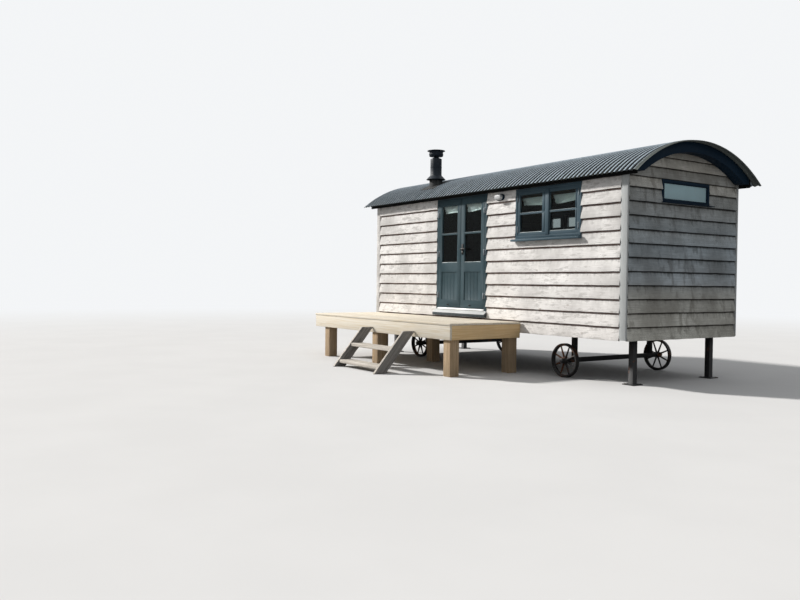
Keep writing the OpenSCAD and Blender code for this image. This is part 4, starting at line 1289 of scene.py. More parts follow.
@dataclass
class Weatherboards:
    """Lapped boards of one wall, nailed over its studs."""

    side: WallSide
    half_length: float
    rows: int
    finish: Finish
    openings: Sequence[tuple[Sequence[float], Sequence[float]]]
    butt: float = 8.25 * MM
    slope: float = 30 * MM
    thickness: float = 27 * MM
    thinning: float = 13 * MM
    drop: float = 9 * MM
    overlap: float = 12 * MM
    saw_step: float = 0.11
    stud_pitch: float = 0.61
    nail_rises: tuple[float, float] = (0.2, 0.69)
    nail_room: float = 0.03
    nail_strays: tuple[float, float] = (0.025, 8 * MM)
    butt_wear: tuple[tuple[float, float], ...] = ((9 * MM, 0.23), (4 * MM, 0.06))
    top_radius: float = 1.8995
    roof_reach: float = 4.0

    @property
    def name(self) -> str:
        """Name of the wall's boards."""
        return self.side.name.lower() + "_weatherboards"

    @property
    def laps(self) -> list[float]:
        """Heights of the feet of all rows, and of the top of the last one."""
        return [PLAN.lap(row, self.side.is_end) for row in range(self.rows + 1)]

    def board(self, course: float) -> Piece:
        """Models a board of a given course, drawn along X with its foot at the ground.

        Args:
            course: Rise from one lap to the next.

        Returns:
            The board, its butt held in a vertex group.
        """
        foot, top = -self.drop, course + self.overlap
        back = self.butt - self.thickness
        piece = block(self.name, (-self.half_length, back, foot),
                      (self.half_length, self.butt, top))
        with picking(piece):
            bpy.ops.mesh.bisect(plane_co=(0, 0, 0), plane_no=(0, 0, 1))
        move(piece, (0, -self.slope * (course + self.overlap) / course, 0),
             lambda v: v.co.z > top - MM and v.co.y > self.butt - MM)
        move(piece, (0, -self.thinning, 0),
             lambda v: v.co.z > top - MM and abs(v.co.y - back) < HAIR)
        with picking(piece, "EDGE",
                     lambda e: abs(e.verts[0].co.x - e.verts[1].co.x) > self.half_length):
            bpy.ops.mesh.subdivide(number_cuts=int(self.half_length * 2 / self.saw_step))
        butts = [v.index for v in piece.data.vertices if v.co.z < foot + MM]
        piece.vertex_groups.new(name="butts").add(butts, 1.0, "REPLACE")
        return piece

    def build(self) -> list[Piece]:
        """Makes the wall's boards, cut to the roof and the openings, and its nails.

        Returns:
            The dressed boards and nails.
        """
        courses: dict[float, list[Matrix]] = {}
        for low, high in zip(self.laps, self.laps[1:]):
            courses.setdefault(round(high - low, 5), []).append(
                self.side.place @ Matrix.Translation((0, 0, low)))
        wall = join(self.name, [scatter(self.name, self.board(course), places)
                                for course, places in courses.items()])
        for depth, size in self.butt_wear:
            roughen(wall, depth, size, "Z", "butts")
        ease(wall, 2.2 * MM)
        reach = Vector((self.roof_reach, 0, 0))
        carve(wall, rod("under_roof", PLAN.roof_centre - reach, PLAN.roof_centre + reach,
                        self.top_radius, 360), "INTERSECT")
        for low, high in self.openings:
            carve(wall, block("opening", low, high))
        wall.vertex_groups.clear()
        tag_planks(smooth(wall), len(self.name) * 7, self.laps)
        return [dress(wall, self.finish, "weatherboard"), self.nail_heads()]

    def nail_heads(self) -> Piece:
        """Two nails at each stud of every board that has the stud behind it.

        Returns:
            The dressed nails.
        """
        draw = random.Random(self.name)
        places = []
        studs = int(self.half_length / self.stud_pitch)
        up, aside = self.nail_strays
        out = self.side.place.to_3x3() @ Vector((0, 1, 0))
        for low, high in zip(self.laps, self.laps[1:]):
            for stud in range(-studs, studs + 1):
                for rise in self.nail_rises:
                    part = rise + draw.uniform(-up, up)
                    x = stud * self.stud_pitch + draw.uniform(-aside, aside)
                    place = self.side.place @ Vector((
                        x, self.butt - self.slope * part - 0.2 * MM, low + (high - low) * part))
                    if self.is_clear(place):
                        places.append(facing(place, out, draw.uniform(0, 3)))
        nails = scatter(self.name + "_nails", head("nail", 3.4 * MM, 0.7 * MM, 8), places)
        return dress(smooth(nails), NAIL, "weatherboard")

    def is_clear(self, place: Vector) -> bool:
        """Whether a point of the wall is board, away from openings and the roof."""
        reach = math.hypot(place.y - PLAN.middle_y, place.z - PLAN.roof_centre_z)
        return reach <= self.top_radius - self.nail_room and not any(
            all(low[i] - self.nail_room < place[i] < high[i] + self.nail_room for i in range(3))
            for low, high in self.openings)


@dataclass
class Cladding:
    """The boards of all four walls, with their corner boards, lining and floor."""

    wall_end: float = 2.7494
    end_wall_end: float = 1.1016
    wall_rows: int = 13
    end_wall_rows: int = 15
    window_rebate: float = 0.0276
    seat: float = 0.5 * MM
    cut_depth: float = 0.2

    def hole(self, side: WallSide, low: Vector, high: Vector,
             inset: float) -> tuple[list[float], list[float]]:
        """A block that cuts a wall's boards for what stands in it.

        Args:
            side: The wall.
            low: Lowest corner of what stands in it.
            high: Highest corner.
            inset: How far its sides lie behind the boards.

        Returns:
            The block's two corners.
        """
        through = 0 if side.is_end else 1
        wall = side.place.translation[through]
        corners = []
        for corner, sign in ((low, 1), (high, -1)):
            point = list(corner)
            point[through] = wall - sign * self.cut_depth
            point[1 - through] += sign * inset
            point[2] -= sign * self.seat
            corners.append(point)
        return tuple(corners)

    def openings(self, side: WallSide) -> list[tuple[list[float], list[float]]]:
        """Blocks that cut the boards of a wall at its doorway or window.

        Args:
            side: The wall.

        Returns:
            The two corners of each block.
        """
        if side is WallSide.LEFT:
            return []
        window = {WallSide.RIGHT: "end", WallSide.BACK: "back", WallSide.FRONT: "front"}[side]
        holes = [self.hole(side, *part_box(window + "_window_frame"), self.window_rebate)]
        if side is WallSide.FRONT:
            low, high = (corner.copy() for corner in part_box("door_frame"))
            low.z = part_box("door_sill")[0].z
            holes.append(self.hole(side, low, high, -self.seat))
        return holes

    def build(self) -> list[Piece]:
        """Makes the boards, the corner boards and dresses what lies behind them.

        Returns:
            The dressed pieces.
        """
        done = []
        for side in WallSide:
            half, rows = ((self.end_wall_end, self.end_wall_rows) if side.is_end
                          else (self.wall_end, self.wall_rows))
            # The right end gets the darker boards, partly painted shade.
            finish = {WallSide.LEFT: BOARDS_LEFT, WallSide.RIGHT: BOARDS_RIGHT}.get(
                side, BOARDS_LONG)
            done += Weatherboards(side, half, rows, finish, self.openings(side)).build()
        corners = dress(tag_planks(refine("corner_boards", 2.5 * MM), 5), CORNER, "weatherboard")
        dress_part(corners, CORNER_BLEACHED, lambda c, n: c.x < 0 and c.y < 0)
        # The lining and floor inside get near black finishes, painted shade of the inside.
        for node in ("front_wall_left", "front_wall_right", "front_wall_at_door", "back_wall",
                     "left_end_wall", "right_end_wall"):
            dress_node(node, LINING)
        dress_node("floor", FLOOR)
        return done + [corners]


@dataclass
class Roof:
    """Curved corrugated sheets, their screws and the trim round the edge."""

    sheets: int = 8
    waves: int = 10
    overlap: int = 2
    overlap_drop: float = 2.2 * MM
    start_wave: int = -41
    depth: float = 18 * MM
    thickness: float = 1.0 * MM
    half_angle: float = math.radians(40.6)
    wave_steps: int = 8
    arc_steps: int = 40
    end: float = 3.1037
    bare_end: float = 3.05
    bare_underside: float = 2.985
    screw_angles: tuple[float, ...] = (-37.5, -18.0, 0.0, 18.0, 37.5)
    screw_crests: range = range(-39, 42, 3)

    def sheet(self) -> Piece:
        """Models one sheet: its wavy section swept round the roof's centre line.

        Returns:
            The sheet.
        """
        outline = []
        for i in range((self.waves + self.overlap) * self.wave_steps + 1):
            along = i * PLAN.sheet_pitch / self.wave_steps
            wave = 1 - math.cos(2 * math.pi * along / PLAN.sheet_pitch)
            radius = PLAN.roof_radius - self.depth / 2 * wave
            lapped = i > self.waves * self.wave_steps
            outline.append((radius - self.overlap_drop * lapped, along))
        sheet = lathe("corrugated_sheets", outline, PLAN.roof_centre, Axis.X, self.arc_steps,
                      2 * self.half_angle, -self.half_angle)
        return modify(sheet, "SOLIDIFY", thickness=self.thickness, offset=-1.0)

    def is_bare(self, place: Vector, normal: Vector) -> bool:
        """Whether a face of the sheets is at their ends or under their overhang."""
        inward = normal.yz.dot((place - PLAN.roof_centre).yz) < 0
        return abs(place.x) > self.bare_end or (abs(place.x) > self.bare_underside and inward)

    def build(self) -> list[Piece]:
        """Makes the sheets with their screws, the barges, eaves boards and boarding.

        Returns:
            The dressed pieces.
        """
        waves = [self.start_wave + i * self.waves for i in range(self.sheets)]
        sheets = scatter("corrugated_sheets", self.sheet(), [
            Matrix.Translation((wave * PLAN.sheet_pitch, 0, 0)) for wave in waves])
        for x, keep in ((self.end, False), (-self.end, True)):
            with picking(sheets):
                bpy.ops.mesh.bisect(plane_co=(x, 0, 0), plane_no=(1, 0, 0), use_fill=True,
                                    clear_outer=not keep, clear_inner=keep)
        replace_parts(dress(smooth(sheets, 45.0), ROOF, "roof_sheet"), "corrugated_roof")
        dress_part(sheets, SHEET_END, self.is_bare)
        screws = []
        for angle in map(math.radians, self.screw_angles):
            out = Vector((0, -math.sin(angle), math.cos(angle)))
            foot = PLAN.roof_centre + out * (PLAN.roof_radius + 0.4 * MM)
            screws += [facing(foot + Vector((crest * PLAN.sheet_pitch, 0, 0)), out, crest)
                       for crest in self.screw_crests]
        heads = scatter("roof_screws", hex_head("screw", 4.2 * MM, 5 * MM), screws)
        boarding = tag_planks(refine("roof_boarding", 1.5 * MM, 1), 3)
        return [sheets, dress(smooth(heads), ROOF, "roof_sheet"),
                dress(refine("barge_boards", 2.5 * MM), TRIM, "dark_trim"),
                dress(refine("eaves_boards", 2.5 * MM), EAVES, "dark_trim"),
                dress(boarding, SOFFIT, "roof_timber")]


@dataclass
class Flue:
    """Stove pipe with its collar, flashing and cowl.

    The outlines hold (radius, height), from the collar's foot for the collar and down
    from the flue's top for the others.
    """

    collar_z: float = 2.996
    bore: float = 0.0912
    radius: float = 0.095
    collar: tuple[tuple[float, float], ...] = (
        (0.095, 0.06), (0.118, 0.042), (0.1595, 0.001), (0.16, 0.0), (0.16, 0.004),
        (0.119, 0.048), (0.0975, 0.069), (0.0965, 0.078), (0.095, 0.08), (0.095, 0.2),
        (0.0967, 0.202), (0.0967, 0.214), (0.095, 0.216))
    neck: tuple[tuple[float, float], ...] = (
        (0.095, 0.151), (0.093, 0.146), (0.047, 0.126), (0.043, 0.122), (0.043, 0.1053),
        (0.0395, 0.1053), (0.0395, 0.124), (0.09, 0.148), (0.0912, 0.152))
    cowl: tuple[tuple[float, float], ...] = (
        (0.0, 0.1047), (0.108, 0.1047), (0.1145, 0.1), (0.116, 0.095), (0.116, 0.081),
        (0.1195, 0.079), (0.121, 0.075), (0.121, 0.071), (0.1195, 0.067), (0.116, 0.065),
        (0.116, 0.016), (0.118, 0.0145), (0.1485, 0.0145), (0.15, 0.013), (0.15, 0.009),
        (0.148, 0.007), (0.108, 0.0012), (0.09, 0.0), (0.0, 0.0))
    screw_reach: float = 0.16
    apron: float = 4.6 * MM

    def build(self) -> list[Piece]:
        """Turns the pipe and the cowl and fits the flashing.

        Returns:
            The dressed pieces.
        """
        low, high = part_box("flue_cowl")
        x, y = (low.x + high.x) / 2, (low.y + high.y) / 2
        foot = (self.bore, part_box("flue_pipe")[0].z)
        pipe = [foot, (self.radius, foot[1])] + [(r, self.collar_z + z) for r, z in self.collar]
        pipe += [(r, high.z - z) for r, z in self.neck] + [foot]
        done = []
        for node, outline in (("flue_pipe", pipe),
                              ("flue_cowl", [(r, high.z - z) for r, z in self.cowl])):
            turned = smooth(lathe(node + "_turned", outline, (x, y, 0)), 40)
            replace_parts(dress(turned, FLUE, "flue_steel"), node)
            done.append(turned)
        flashing = dress(refine("flue_flashing", 1.2 * MM), RUBBER, "flashing_rubber")
        return done + [flashing, self.fixings(x, y)]

    def fixings(self, x: float, y: float) -> Piece:
        """Screws round the flashing's apron, whose middle is given.

        Args:
            x: Middle of the flue along the hut.
            y: Its middle across the hut.

        Returns:
            The dressed screws.
        """
        places = []
        for i in range(-3, 4, 2):
            for a, b in ((i / 3, -1.0), (i / 3, 1.0), (-1.0, i / 3), (1.0, i / 3)):
                out = Vector((0, y + b * self.screw_reach - PLAN.middle_y, 0))
                out.z = math.sqrt(PLAN.roof_radius ** 2 - out.y ** 2)
                foot = PLAN.roof_centre + Vector((x + a * self.screw_reach, 0, 0))
                foot += out.normalized() * (PLAN.roof_radius + self.apron)
                places.append(facing(foot, out, i))
        screws = scatter("flashing_screws", hex_head("screw", 3.6 * MM, 4 * MM), places)
        return dress(smooth(screws), SCREW, "flue_steel")


@dataclass
class Joinery:
    """Doors and windows: frames, leaves, glass, beads, hinges and handle."""

    bead: float = 9 * MM
    bead_depth: float = 9.5 * MM
    bead_fall: float = 5 * MM
    bead_lap: float = 0.2 * MM
    bar_bead: float = 4 * MM
    bar_gap: float = 24.6 * MM
    bar_height: float = 2.242
    half_bar: float = 11 * MM
    frame_side: float = 0.115
    knob_height: float = 0.918
    knob: tuple[tuple[float, float], ...] = (
        (0.0, -0.0305), (0.006, -0.03), (0.0095, -0.027), (0.0105, -0.022), (0.0085, -0.017),
        (0.0055, -0.012), (0.006, -0.004), (0.013, -0.002), (0.013, 0.0), (0.0, 0.0))
    hinge_heights: tuple[float, ...] = (1.068, 1.723, 2.348)
    hinge_screws: tuple[float, ...] = (-0.034, 0.0, 0.034)
    flap_middle: float = 24 * MM
    lock_x: float = -0.351
    lock_drop: float = 0.045
    lock_size: tuple[float, float] = (8.5 * MM, 16 * MM)
    key_size: tuple[float, float] = (1.2 * MM, 8 * MM)
    joint: tuple[float, float] = (1.4355, 1.4405)
    joint_cut: tuple[float, float] = (50 * MM, 12 * MM)
    strip_end: float = 1.5125
    strip_front: float = 6 * MM
    strip_overrun: float = 44 * MM
    stile_widths: tuple[float, float] = (15 * MM, 44.5 * MM)
    casement_joint: float = 66.2 * MM
    casement_hinges: tuple[float, float] = (0.17, 0.13)
    half_hinge: float = 42 * MM
    hinge_pin: float = 4.5 * MM
    hinge_flap: float = 14 * MM

    def beads(self, name: str, side: float, axis: Axis = Axis.Y, body: str = ROOT) -> Piece:
        """Puts a bead round each pane of a glass node, narrow along the glazing bars.

        Args:
            name: Name of what holds the glass.
            side: +1 or -1, the side of the glass that the beads lie on.
            axis: The way that one looks through the glass.
            body: The body that the beads ride.

        Returns:
            The beads of all its panes.
        """
        def at_bar(gaps: Iterable[float]) -> float:
            """The bead's width, from the gaps between a pane's edge and the others."""
            touches = any(abs(gap - self.bar_gap) < 5 * MM for gap in gaps)
            return self.bar_bead if touches else self.bead

        rings = []
        panes = parts_of(name + "_glass")
        for low, high in panes:
            widths = (self.bead, self.bead, at_bar(low.z - other[1].z for other in panes),
                      at_bar(other[0].z - high.z for other in panes))
            low, high = low.copy(), high.copy()
            face = (high if side > 0 else low)[axis.value]
            low[axis.value], high[axis.value] = sorted((face, face + side * self.bead_depth))
            for i in axis.others:
                low[i] -= self.bead_lap
                high[i] += self.bead_lap
            rings.append(ring(name, low, high, widths, axis, side, self.bead_fall))
        beads = smooth(ease(join(name + "_beads", rings), 1.2 * MM, 1))
        dress(beads, JOINERY if axis is Axis.Y else TRIM, "joinery_paint", body)
        if axis is Axis.Y:
            # Painted highlight on the beads' upward faces.
            upward = {round(face.center.z, 5) for face in beads.data.polygons
                      if face.normal.z > 0.3}
            dress_part(beads, HIGHLIGHT_PAINT, lambda c, n: round(c.z, 5) in upward)
        return beads

    def timber(self, node: str, body: str = ROOT) -> Piece:
        """Dresses the door's frame or a leaf, with the hinge halves that stand out of it.

        Args:
            node: The node.
            body: The body that it rides.

        Returns:
            The dressed copy.
        """
        piece = dress(refine(node, (1.6 if body == ROOT else 1.4) * MM), JOINERY,
                      "joinery_paint", body)
        dress_part(piece, HINGE, lambda c, n: c.y < PLAN.front - 0.4 * MM)
        return piece

    def doorway(self) -> list[Piece]:
        """Frame, sill and threshold.

        Returns:
            The dressed pieces.
        """
        sill = dress(refine("door_sill", 3 * MM), SILL, "sill_timber")
        # Painted highlight on the sill's upward faces.
        dress_part(sill, SILL_HIGHLIGHT, lambda c, n: n.z > 0.5)
        threshold = dress(refine("door_threshold", 1 * MM), THRESHOLD, "threshold_metal")
        return [self.timber("door_frame"), sill, threshold]

    def leaf(self, node: str, body: str, edge: int, knob_part: float) -> list[Piece]:
        """One door leaf with its hinge halves, glass, beads, screws and bottom knob.

        Args:
            node: The leaf's node.
            body: The body that it is.
            edge: 0 or 1, whether its hinges are at its low or its high X.
            knob_part: Where its knob sits, as a part of its width.

        Returns:
            The leaf's dressed pieces.
        """
        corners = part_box(node)
        dress_node(node + "_glass", CLEAR)
        x = corners[0].x + (corners[1].x - corners[0].x) * knob_part
        knob = lathe(node + "_knob", self.knob, (x, PLAN.front, self.knob_height), Axis.Y, 28)
        x = corners[edge].x + (1 - 2 * edge) * self.flap_middle
        places = [facing((x, PLAN.front - 3 * MM, z + rise), (0, -1, 0), z + rise)
                  for z in self.hinge_heights for rise in self.hinge_screws]
        screws = scatter(node + "_hinge_screws", head("screw", 3.1 * MM, 0.9 * MM), places)
        return [self.timber(node, body), self.beads(node, -1.0, body=body),
                dress(smooth(knob), STEEL, "handle_metal", body),
                dress(smooth(screws), SCREW, "handle_metal", body)]

    def handle(self) -> list[Piece]:
        """Lever handle on its plate with a lock cylinder under it.

        Returns:
            The dressed pieces.
        """
        low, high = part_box("door_handle")
        x, y, z = self.lock_x, PLAN.front, (low.z + high.z) / 2 - self.lock_drop
        wide, tall = self.lock_size
        lock = stadium("lock_cylinder", (x - wide, y - 9.5 * MM, z - tall),
                       (x + wide, y - 6.5 * MM, z + tall), wide)
        wide, tall = self.key_size
        slot = block("key_slot", (x - wide, y - 9.9 * MM, z - tall),
                     (x + wide, y - 9 * MM, z + tall / 2))
        return [dress(piece, finish, "handle_metal", RIGHT_LEAF) for piece, finish in (
            (refine("door_handle", 1.1 * MM, 3), STEEL), (smooth(ease(lock, 0.8 * MM)), SCREW),
            (ease(slot, 0.2 * MM, 1), TRIM))]

    def window(self, side: WallSide, outwards: float) -> list[Piece]:
        """A double casement window with beads and hinges.

        Args:
            side: The front or the back.
            outwards: -1 for the front, +1 for the back.

        Returns:
            The window's dressed pieces.
        """
        name = side.name.lower() + "_window"
        face = side.place.translation.y
        window = refine(name + "_frame", 1.6 * MM)
        extras = [self.stiles(window, face)] if side is WallSide.FRONT else []
        dress(window, CASEMENT, "joinery_paint")
        low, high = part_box(name + "_frame")
        # Painted highlight over the glazing bar.
        dress_part(window, HIGHLIGHT_PAINT, lambda c, n: abs(c.z - self.bar_height) < self.half_bar
                   and low.x + self.frame_side < c.x < high.x - self.frame_side)
        dress_node(name + "_glass", CLEAR)
        hinges = [self.casement_hinge(Vector((x, face, z)), inward, outwards)
                  for x, inward in ((low.x + self.casement_joint, 1.0),
                                    (high.x - self.casement_joint, -1.0))
                  for z in (low.z + self.casement_hinges[0], high.z - self.casement_hinges[1])]
        metal = dress(smooth(join(name + "_hinges", hinges)), HINGE, "joinery_paint")
        return [window, self.beads(name, outwards), metal] + extras

    def stiles(self, window: Piece, face: float) -> Piece:
        """Strip that covers the joint of the front casements, and the wide stiles at the panes.

        Args:
            window: The window, in which the joint is cut.
            face: The Y of the casements' face.

        Returns:
            The dressed strip and stiles.
        """
        panes = parts_of("front_window_glass")
        left, right = self.joint
        foot, top = panes[0][0].z - self.strip_overrun, panes[-1][1].z + self.strip_overrun
        front, back = self.joint_cut
        carve(window, block("joint", (left, face - front, foot), (right, face + back, top)))
        strips = [block("strip", (right, face - self.strip_front, foot),
                        (self.strip_end, face + 2 * MM, top))]
        narrow, wide = self.stile_widths
        for low, high in panes:
            width = narrow if low.x > (right + self.strip_end) / 2 - 5 * MM else wide
            strips.append(block("strip", (high.x - width, face + 0.4 * MM, low.z - 0.5 * MM),
                                (high.x + 0.5 * MM, low.y - 0.2 * MM, high.z + 0.5 * MM)))
        strip = smooth(ease(join("front_window_stiles", strips), 1.5 * MM))
        return dress(strip, CASEMENT, "joinery_paint")

    def casement_hinge(self, place: Vector, inward: float, outwards: float) -> Piece:
        """A slim butt hinge on the joint between a casement and its frame.

        Args:
            place: Middle of the joint, on the casement's face.
            inward: +1 or -1, the way to the casement's middle along X.
            outwards: +1 or -1, the way out of the hut along Y.

        Returns:
            The hinge.
        """
        half = Vector((0, 0, self.half_hinge))
        pin = place + Vector((0, outwards * 2 * MM, 0))
        knuckle = rod("hinge", pin - half, pin + half, self.hinge_pin, 12)
        xs = sorted((0.0, inward * self.hinge_flap))
        ys = sorted((-outwards * MM, outwards * 2.5 * MM))
        flap = block("hinge", place + Vector((xs[0], ys[0], 0)) - half,
                     place + Vector((xs[1], ys[1], 0)) + half)
        return join("hinge", [ease(knuckle, 1 * MM), ease(flap, 0.8 * MM, 1)])

    def end_window(self) -> list[Piece]:
        """The fixed frosted window of the right end.

        Returns:
            The dressed pieces.
        """
        window = dress(refine("end_window_frame", 1.6 * MM), TRIM, "joinery_paint")
        dress_node("end_window_glass", FROSTED)
        return [window, self.beads("end_window", 1.0, Axis.X)]

    def build(self) -> list[Piece]:
        """Makes every door and window.

        Returns:
            The dressed pieces.
        """
        return (self.doorway() + self.leaf("left_door", LEFT_LEAF, 0, 0.48)
                + self.leaf("right_door", RIGHT_LEAF, 1, 0.42) + self.handle()
                + self.window(WallSide.FRONT, -1.0) + self.window(WallSide.BACK, 1.0)
                + self.end_window())


@dataclass
class Lamp:
    """Bulkhead light: back plate, lens and a guard ring."""

    plate_front: float = 22.5 * MM
    lens_inset: float = 10.5 * MM
    lens_setback: float = 6 * MM
    lens_dome: float = 20 * MM
    rim: float = 5 * MM
    rim_width: float = 5.2 * MM
    rim_span: tuple[float, float] = (34 * MM, 24 * MM)
    screw_gap: float = 7.5 * MM

    def build(self) -> list[Piece]:
        """Makes the lamp in front of the boards.

        Returns:
            The dressed pieces.
        """
        low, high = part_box("bulkhead_light")
        centre, face = (low + high) / 2, PLAN.front
        radius = (high.z - low.z) / 2
        straight = (high.x - low.x) / 2 - radius
        small = radius - self.lens_inset

        def slab(name: str, reach: float, front: float, back: float) -> Piece:
            """A slab with round ends about the lamp's middle, between two Y."""
            return stadium(name, (centre.x - straight - reach, front, centre.z - reach),
                           (centre.x + straight + reach, back, centre.z + reach), reach)

        plate = ease(slab("lamp_plate", radius, face - self.plate_front, high.y), 3 * MM, 3)
        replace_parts(plate, "bulkhead_light")
        front = low.y + self.lens_setback
        lens = slab("lamp_lens", small, front, face - 20 * MM)
        with picking(lens, "EDGE", lambda e: all(v.co.y < front + MM for v in e.verts)):
            bpy.ops.mesh.bevel(offset=self.lens_dome, segments=7, affect="EDGES")
        rim = slab("lamp_rim", small + self.rim, *(face - depth for depth in self.rim_span))
        hollow(rim, Axis.Y, self.rim_width)
        screw = straight + small + self.screw_gap
        places = [facing((centre.x + aside, face - self.plate_front, centre.z), (0, -1, 0), aside)
                  for aside in (-screw, screw)]
        screws = scatter("lamp_screws", head("screw", 2.4 * MM, 0.9 * MM), places)
        return [dress(smooth(plate), TRIM, "light_metal"),
                dress(smooth(lens, 50), LENS, "light_metal"),
                dress(smooth(ease(rim, 1.2 * MM)), TRIM, "light_metal"),
                dress(smooth(screws), SCREW, "light_metal")]


@dataclass
class Deck:
    """Raised deck along the front, with the flight of steps."""

    joists: int = 8
    joist_width: float = 0.045
    fascia_front: float = 34.2 * MM
    bearer_top: float = 0.5949
    voxel: float = 7 * MM
    screw_parts: tuple[float, float] = (0.2, 0.8)

    def screws(self) -> Piece:
        """Two screws where each board crosses a joist.

        Returns:
            The dressed screws.
        """
        draw = random.Random(31)
        low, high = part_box("deck_frame")
        pitch = (high.x - low.x - self.joist_width) / (self.joists - 1)
        places = []
        for board_low, board_high in parts_of("deck_boards"):
            for i in range(self.joists):
                for part in self.screw_parts:
                    x = low.x + self.joist_width / 2 + pitch * i + draw.uniform(-5, 5) * MM
                    y = board_low.y + (board_high.y - board_low.y) * part
                    places.append(facing((x, y + draw.uniform(-4, 4) * MM,
                                          board_high.z - 0.5 * MM), (0, 0, 1),
                                         draw.uniform(0, 3)))
        screws = scatter("deck_screws", head("screw", 4.2 * MM, 0.45 * MM), places)
        return dress(smooth(screws), SCREW, "deck_timber")

    def worn(self, node: str, edge: float, clouds: Sequence[tuple[float, float]]) -> Piece:
        """A timber of the steps, its edges eroded by clouds of (depth, size).

        Args:
            node: The node.
            edge: Width of its eased edges.
            clouds: Depth and size of each pattern.

        Returns:
            The worn copy.
        """
        piece = refine(node, edge, 3)
        modify(piece, "REMESH", mode="VOXEL", voxel_size=self.voxel, use_smooth_shade=True)
        for depth, size in clouds:
            roughen(piece, depth, size)
        return piece

    def strings(self) -> Piece:
        """Weathered leaning boards of the steps, pressed flat where they meet the ground.

        Returns:
            The dressed strings.
        """
        strings = self.worn("step_strings", 5 * MM, ((7 * MM, 0.07), (2.5 * MM, 0.02)))
        for vert in strings.data.vertices:
            vert.co.z = max(vert.co.z, 0.0)
        dress(tag_planks(strings, 23), STRING, "step_timber")
        # The strings' faces that look up and forward, towards the sun, get the pale tread timber:
        # partly sun-bleaching, partly painted light.
        dress_part(strings, TREAD, lambda c, n: n.y < -0.45 and n.z > 0.3)
        return strings

    def build(self) -> list[Piece]:
        """Makes the deck from its posts up, and the steps.

        Returns:
            The dressed pieces.
        """
        boards, fascia, timbers, posts = (
            dress(tag_planks(refine(node, edge * MM, segments), seed), finish, slot)
            for node, edge, segments, seed, finish, slot in (
                ("deck_boards", 3, 2, 11, DECK_LONG, "deck_timber"),
                ("deck_fascia", 3, 2, 13, DECK_LONG, "deck_timber"),
                ("deck_frame", 2.5, 2, 17, DECK_ACROSS, "deck_timber"),
                ("deck_posts", 4, 3, 19, POST, "post_timber")))
        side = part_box("deck_fascia")[0].y + self.fascia_front
        # Painted bounce light: the fascia's faces behind its front, on the side away from the sun,
        # get the warmer, brighter timber.
        dress_part(fascia, DECK_ACROSS, lambda c, n: c.y > side)
        dress_part(timbers, DECK_LONG, lambda c, n: c.z < self.bearer_top)
        treads = self.worn("step_treads", 6 * MM, ((4 * MM, 0.08), (1.5 * MM, 0.02)))
        return [boards, self.screws(), fascia, timbers, posts, self.strings(),
                dress(tag_planks(treads, 29), TREAD, "step_timber")]


@dataclass
class Wheel:
    """Cast iron wheel: flanged rim, tapered spokes and a stepped hub."""

    radius: float = 0.23
    half_width: float = 0.0325
    spokes: int = 8
    spoke_foot: float = 0.04
    hub: tuple[tuple[float, float], ...] = (
        (0.046, 0.022), (0.041, 0.03), (0.0375, 0.036), (0.0375, 0.0535), (0.036, 0.055),
        (0.0282, 0.055))

    def arm(self, x: float, y: float, taper: Sequence[float], edge: float,
            segments: int) -> Piece:
        """One bar of a spoke, upright from the hub to the rim.

        Args:
            x: Half its width at the hub.
            y: Half its depth at the hub.
            taper: What its far end is scaled by.
            edge: Width of its eased edges.
            segments: Steps round them.

        Returns:
            The bar.
        """
        bar = block("wheel", (-x, -y, self.spoke_foot), (x, y, self.radius - 0.03))
        with picking(bar, "FACE", lambda face: face.normal.z > 0.9):
            bpy.ops.transform.resize(value=taper)
        return ease(bar, edge, segments)

    def cast(self) -> Piece:
        """Models the wheel about its axle, at the origin.

        Returns:
            The wheel.
        """
        def mirrored(half: Sequence[tuple[float, float]]) -> list[tuple[float, float]]:
            """The other half of an outline, in the order that leads to the given half."""
            return [(radius, -place) for radius, place in reversed(half)]

        r, w = self.radius, self.half_width
        far = [(r, w - 0.004), (r - 0.004, w), (r - 0.02, w), (r - 0.023, w - 0.003),
               (r - 0.017, 0.012), (r - 0.023, 0.008), (r - 0.034, 0.006)]
        near = mirrored(far)
        rim = lathe("wheel", near[-2:] + far + near[:-1], axis=Axis.Y, steps=96)
        near = mirrored(self.hub)
        hub = lathe("wheel", near + list(self.hub) + near[:1], axis=Axis.Y, steps=48)
        arm = join("wheel", [self.arm(0.013, 0.008, (0.72, 0.8, 1), 4 * MM, 3),
                             self.arm(0.004, 0.02, (1, 0.45, 1), 3 * MM, 2)])
        arms = scatter("wheel", arm, [
            Matrix.Rotation((i + 0.5) * 2 * math.pi / self.spokes, 4, "Y")
            for i in range(self.spokes)])
        return smooth(join("wheel", [rim, hub, arms]), 40)

    def build(self) -> list[Piece]:
        """Casts one wheel and places it at the four corners.

        Returns:
            The dressed pieces.
        """
        seed = self.cast()
        done = []
        for side in ("front_left", "front_right", "back_left", "back_right"):
            low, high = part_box(side + "_wheel")
            wheel = twin(seed, side + "_wheel_cast", Matrix.Translation((low + high) / 2))
            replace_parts(dress(wheel, IRON, "wheel_iron", "wheel_" + side), side + "_wheel")
            done.append(wheel)
        bpy.data.objects.remove(seed)
        return done


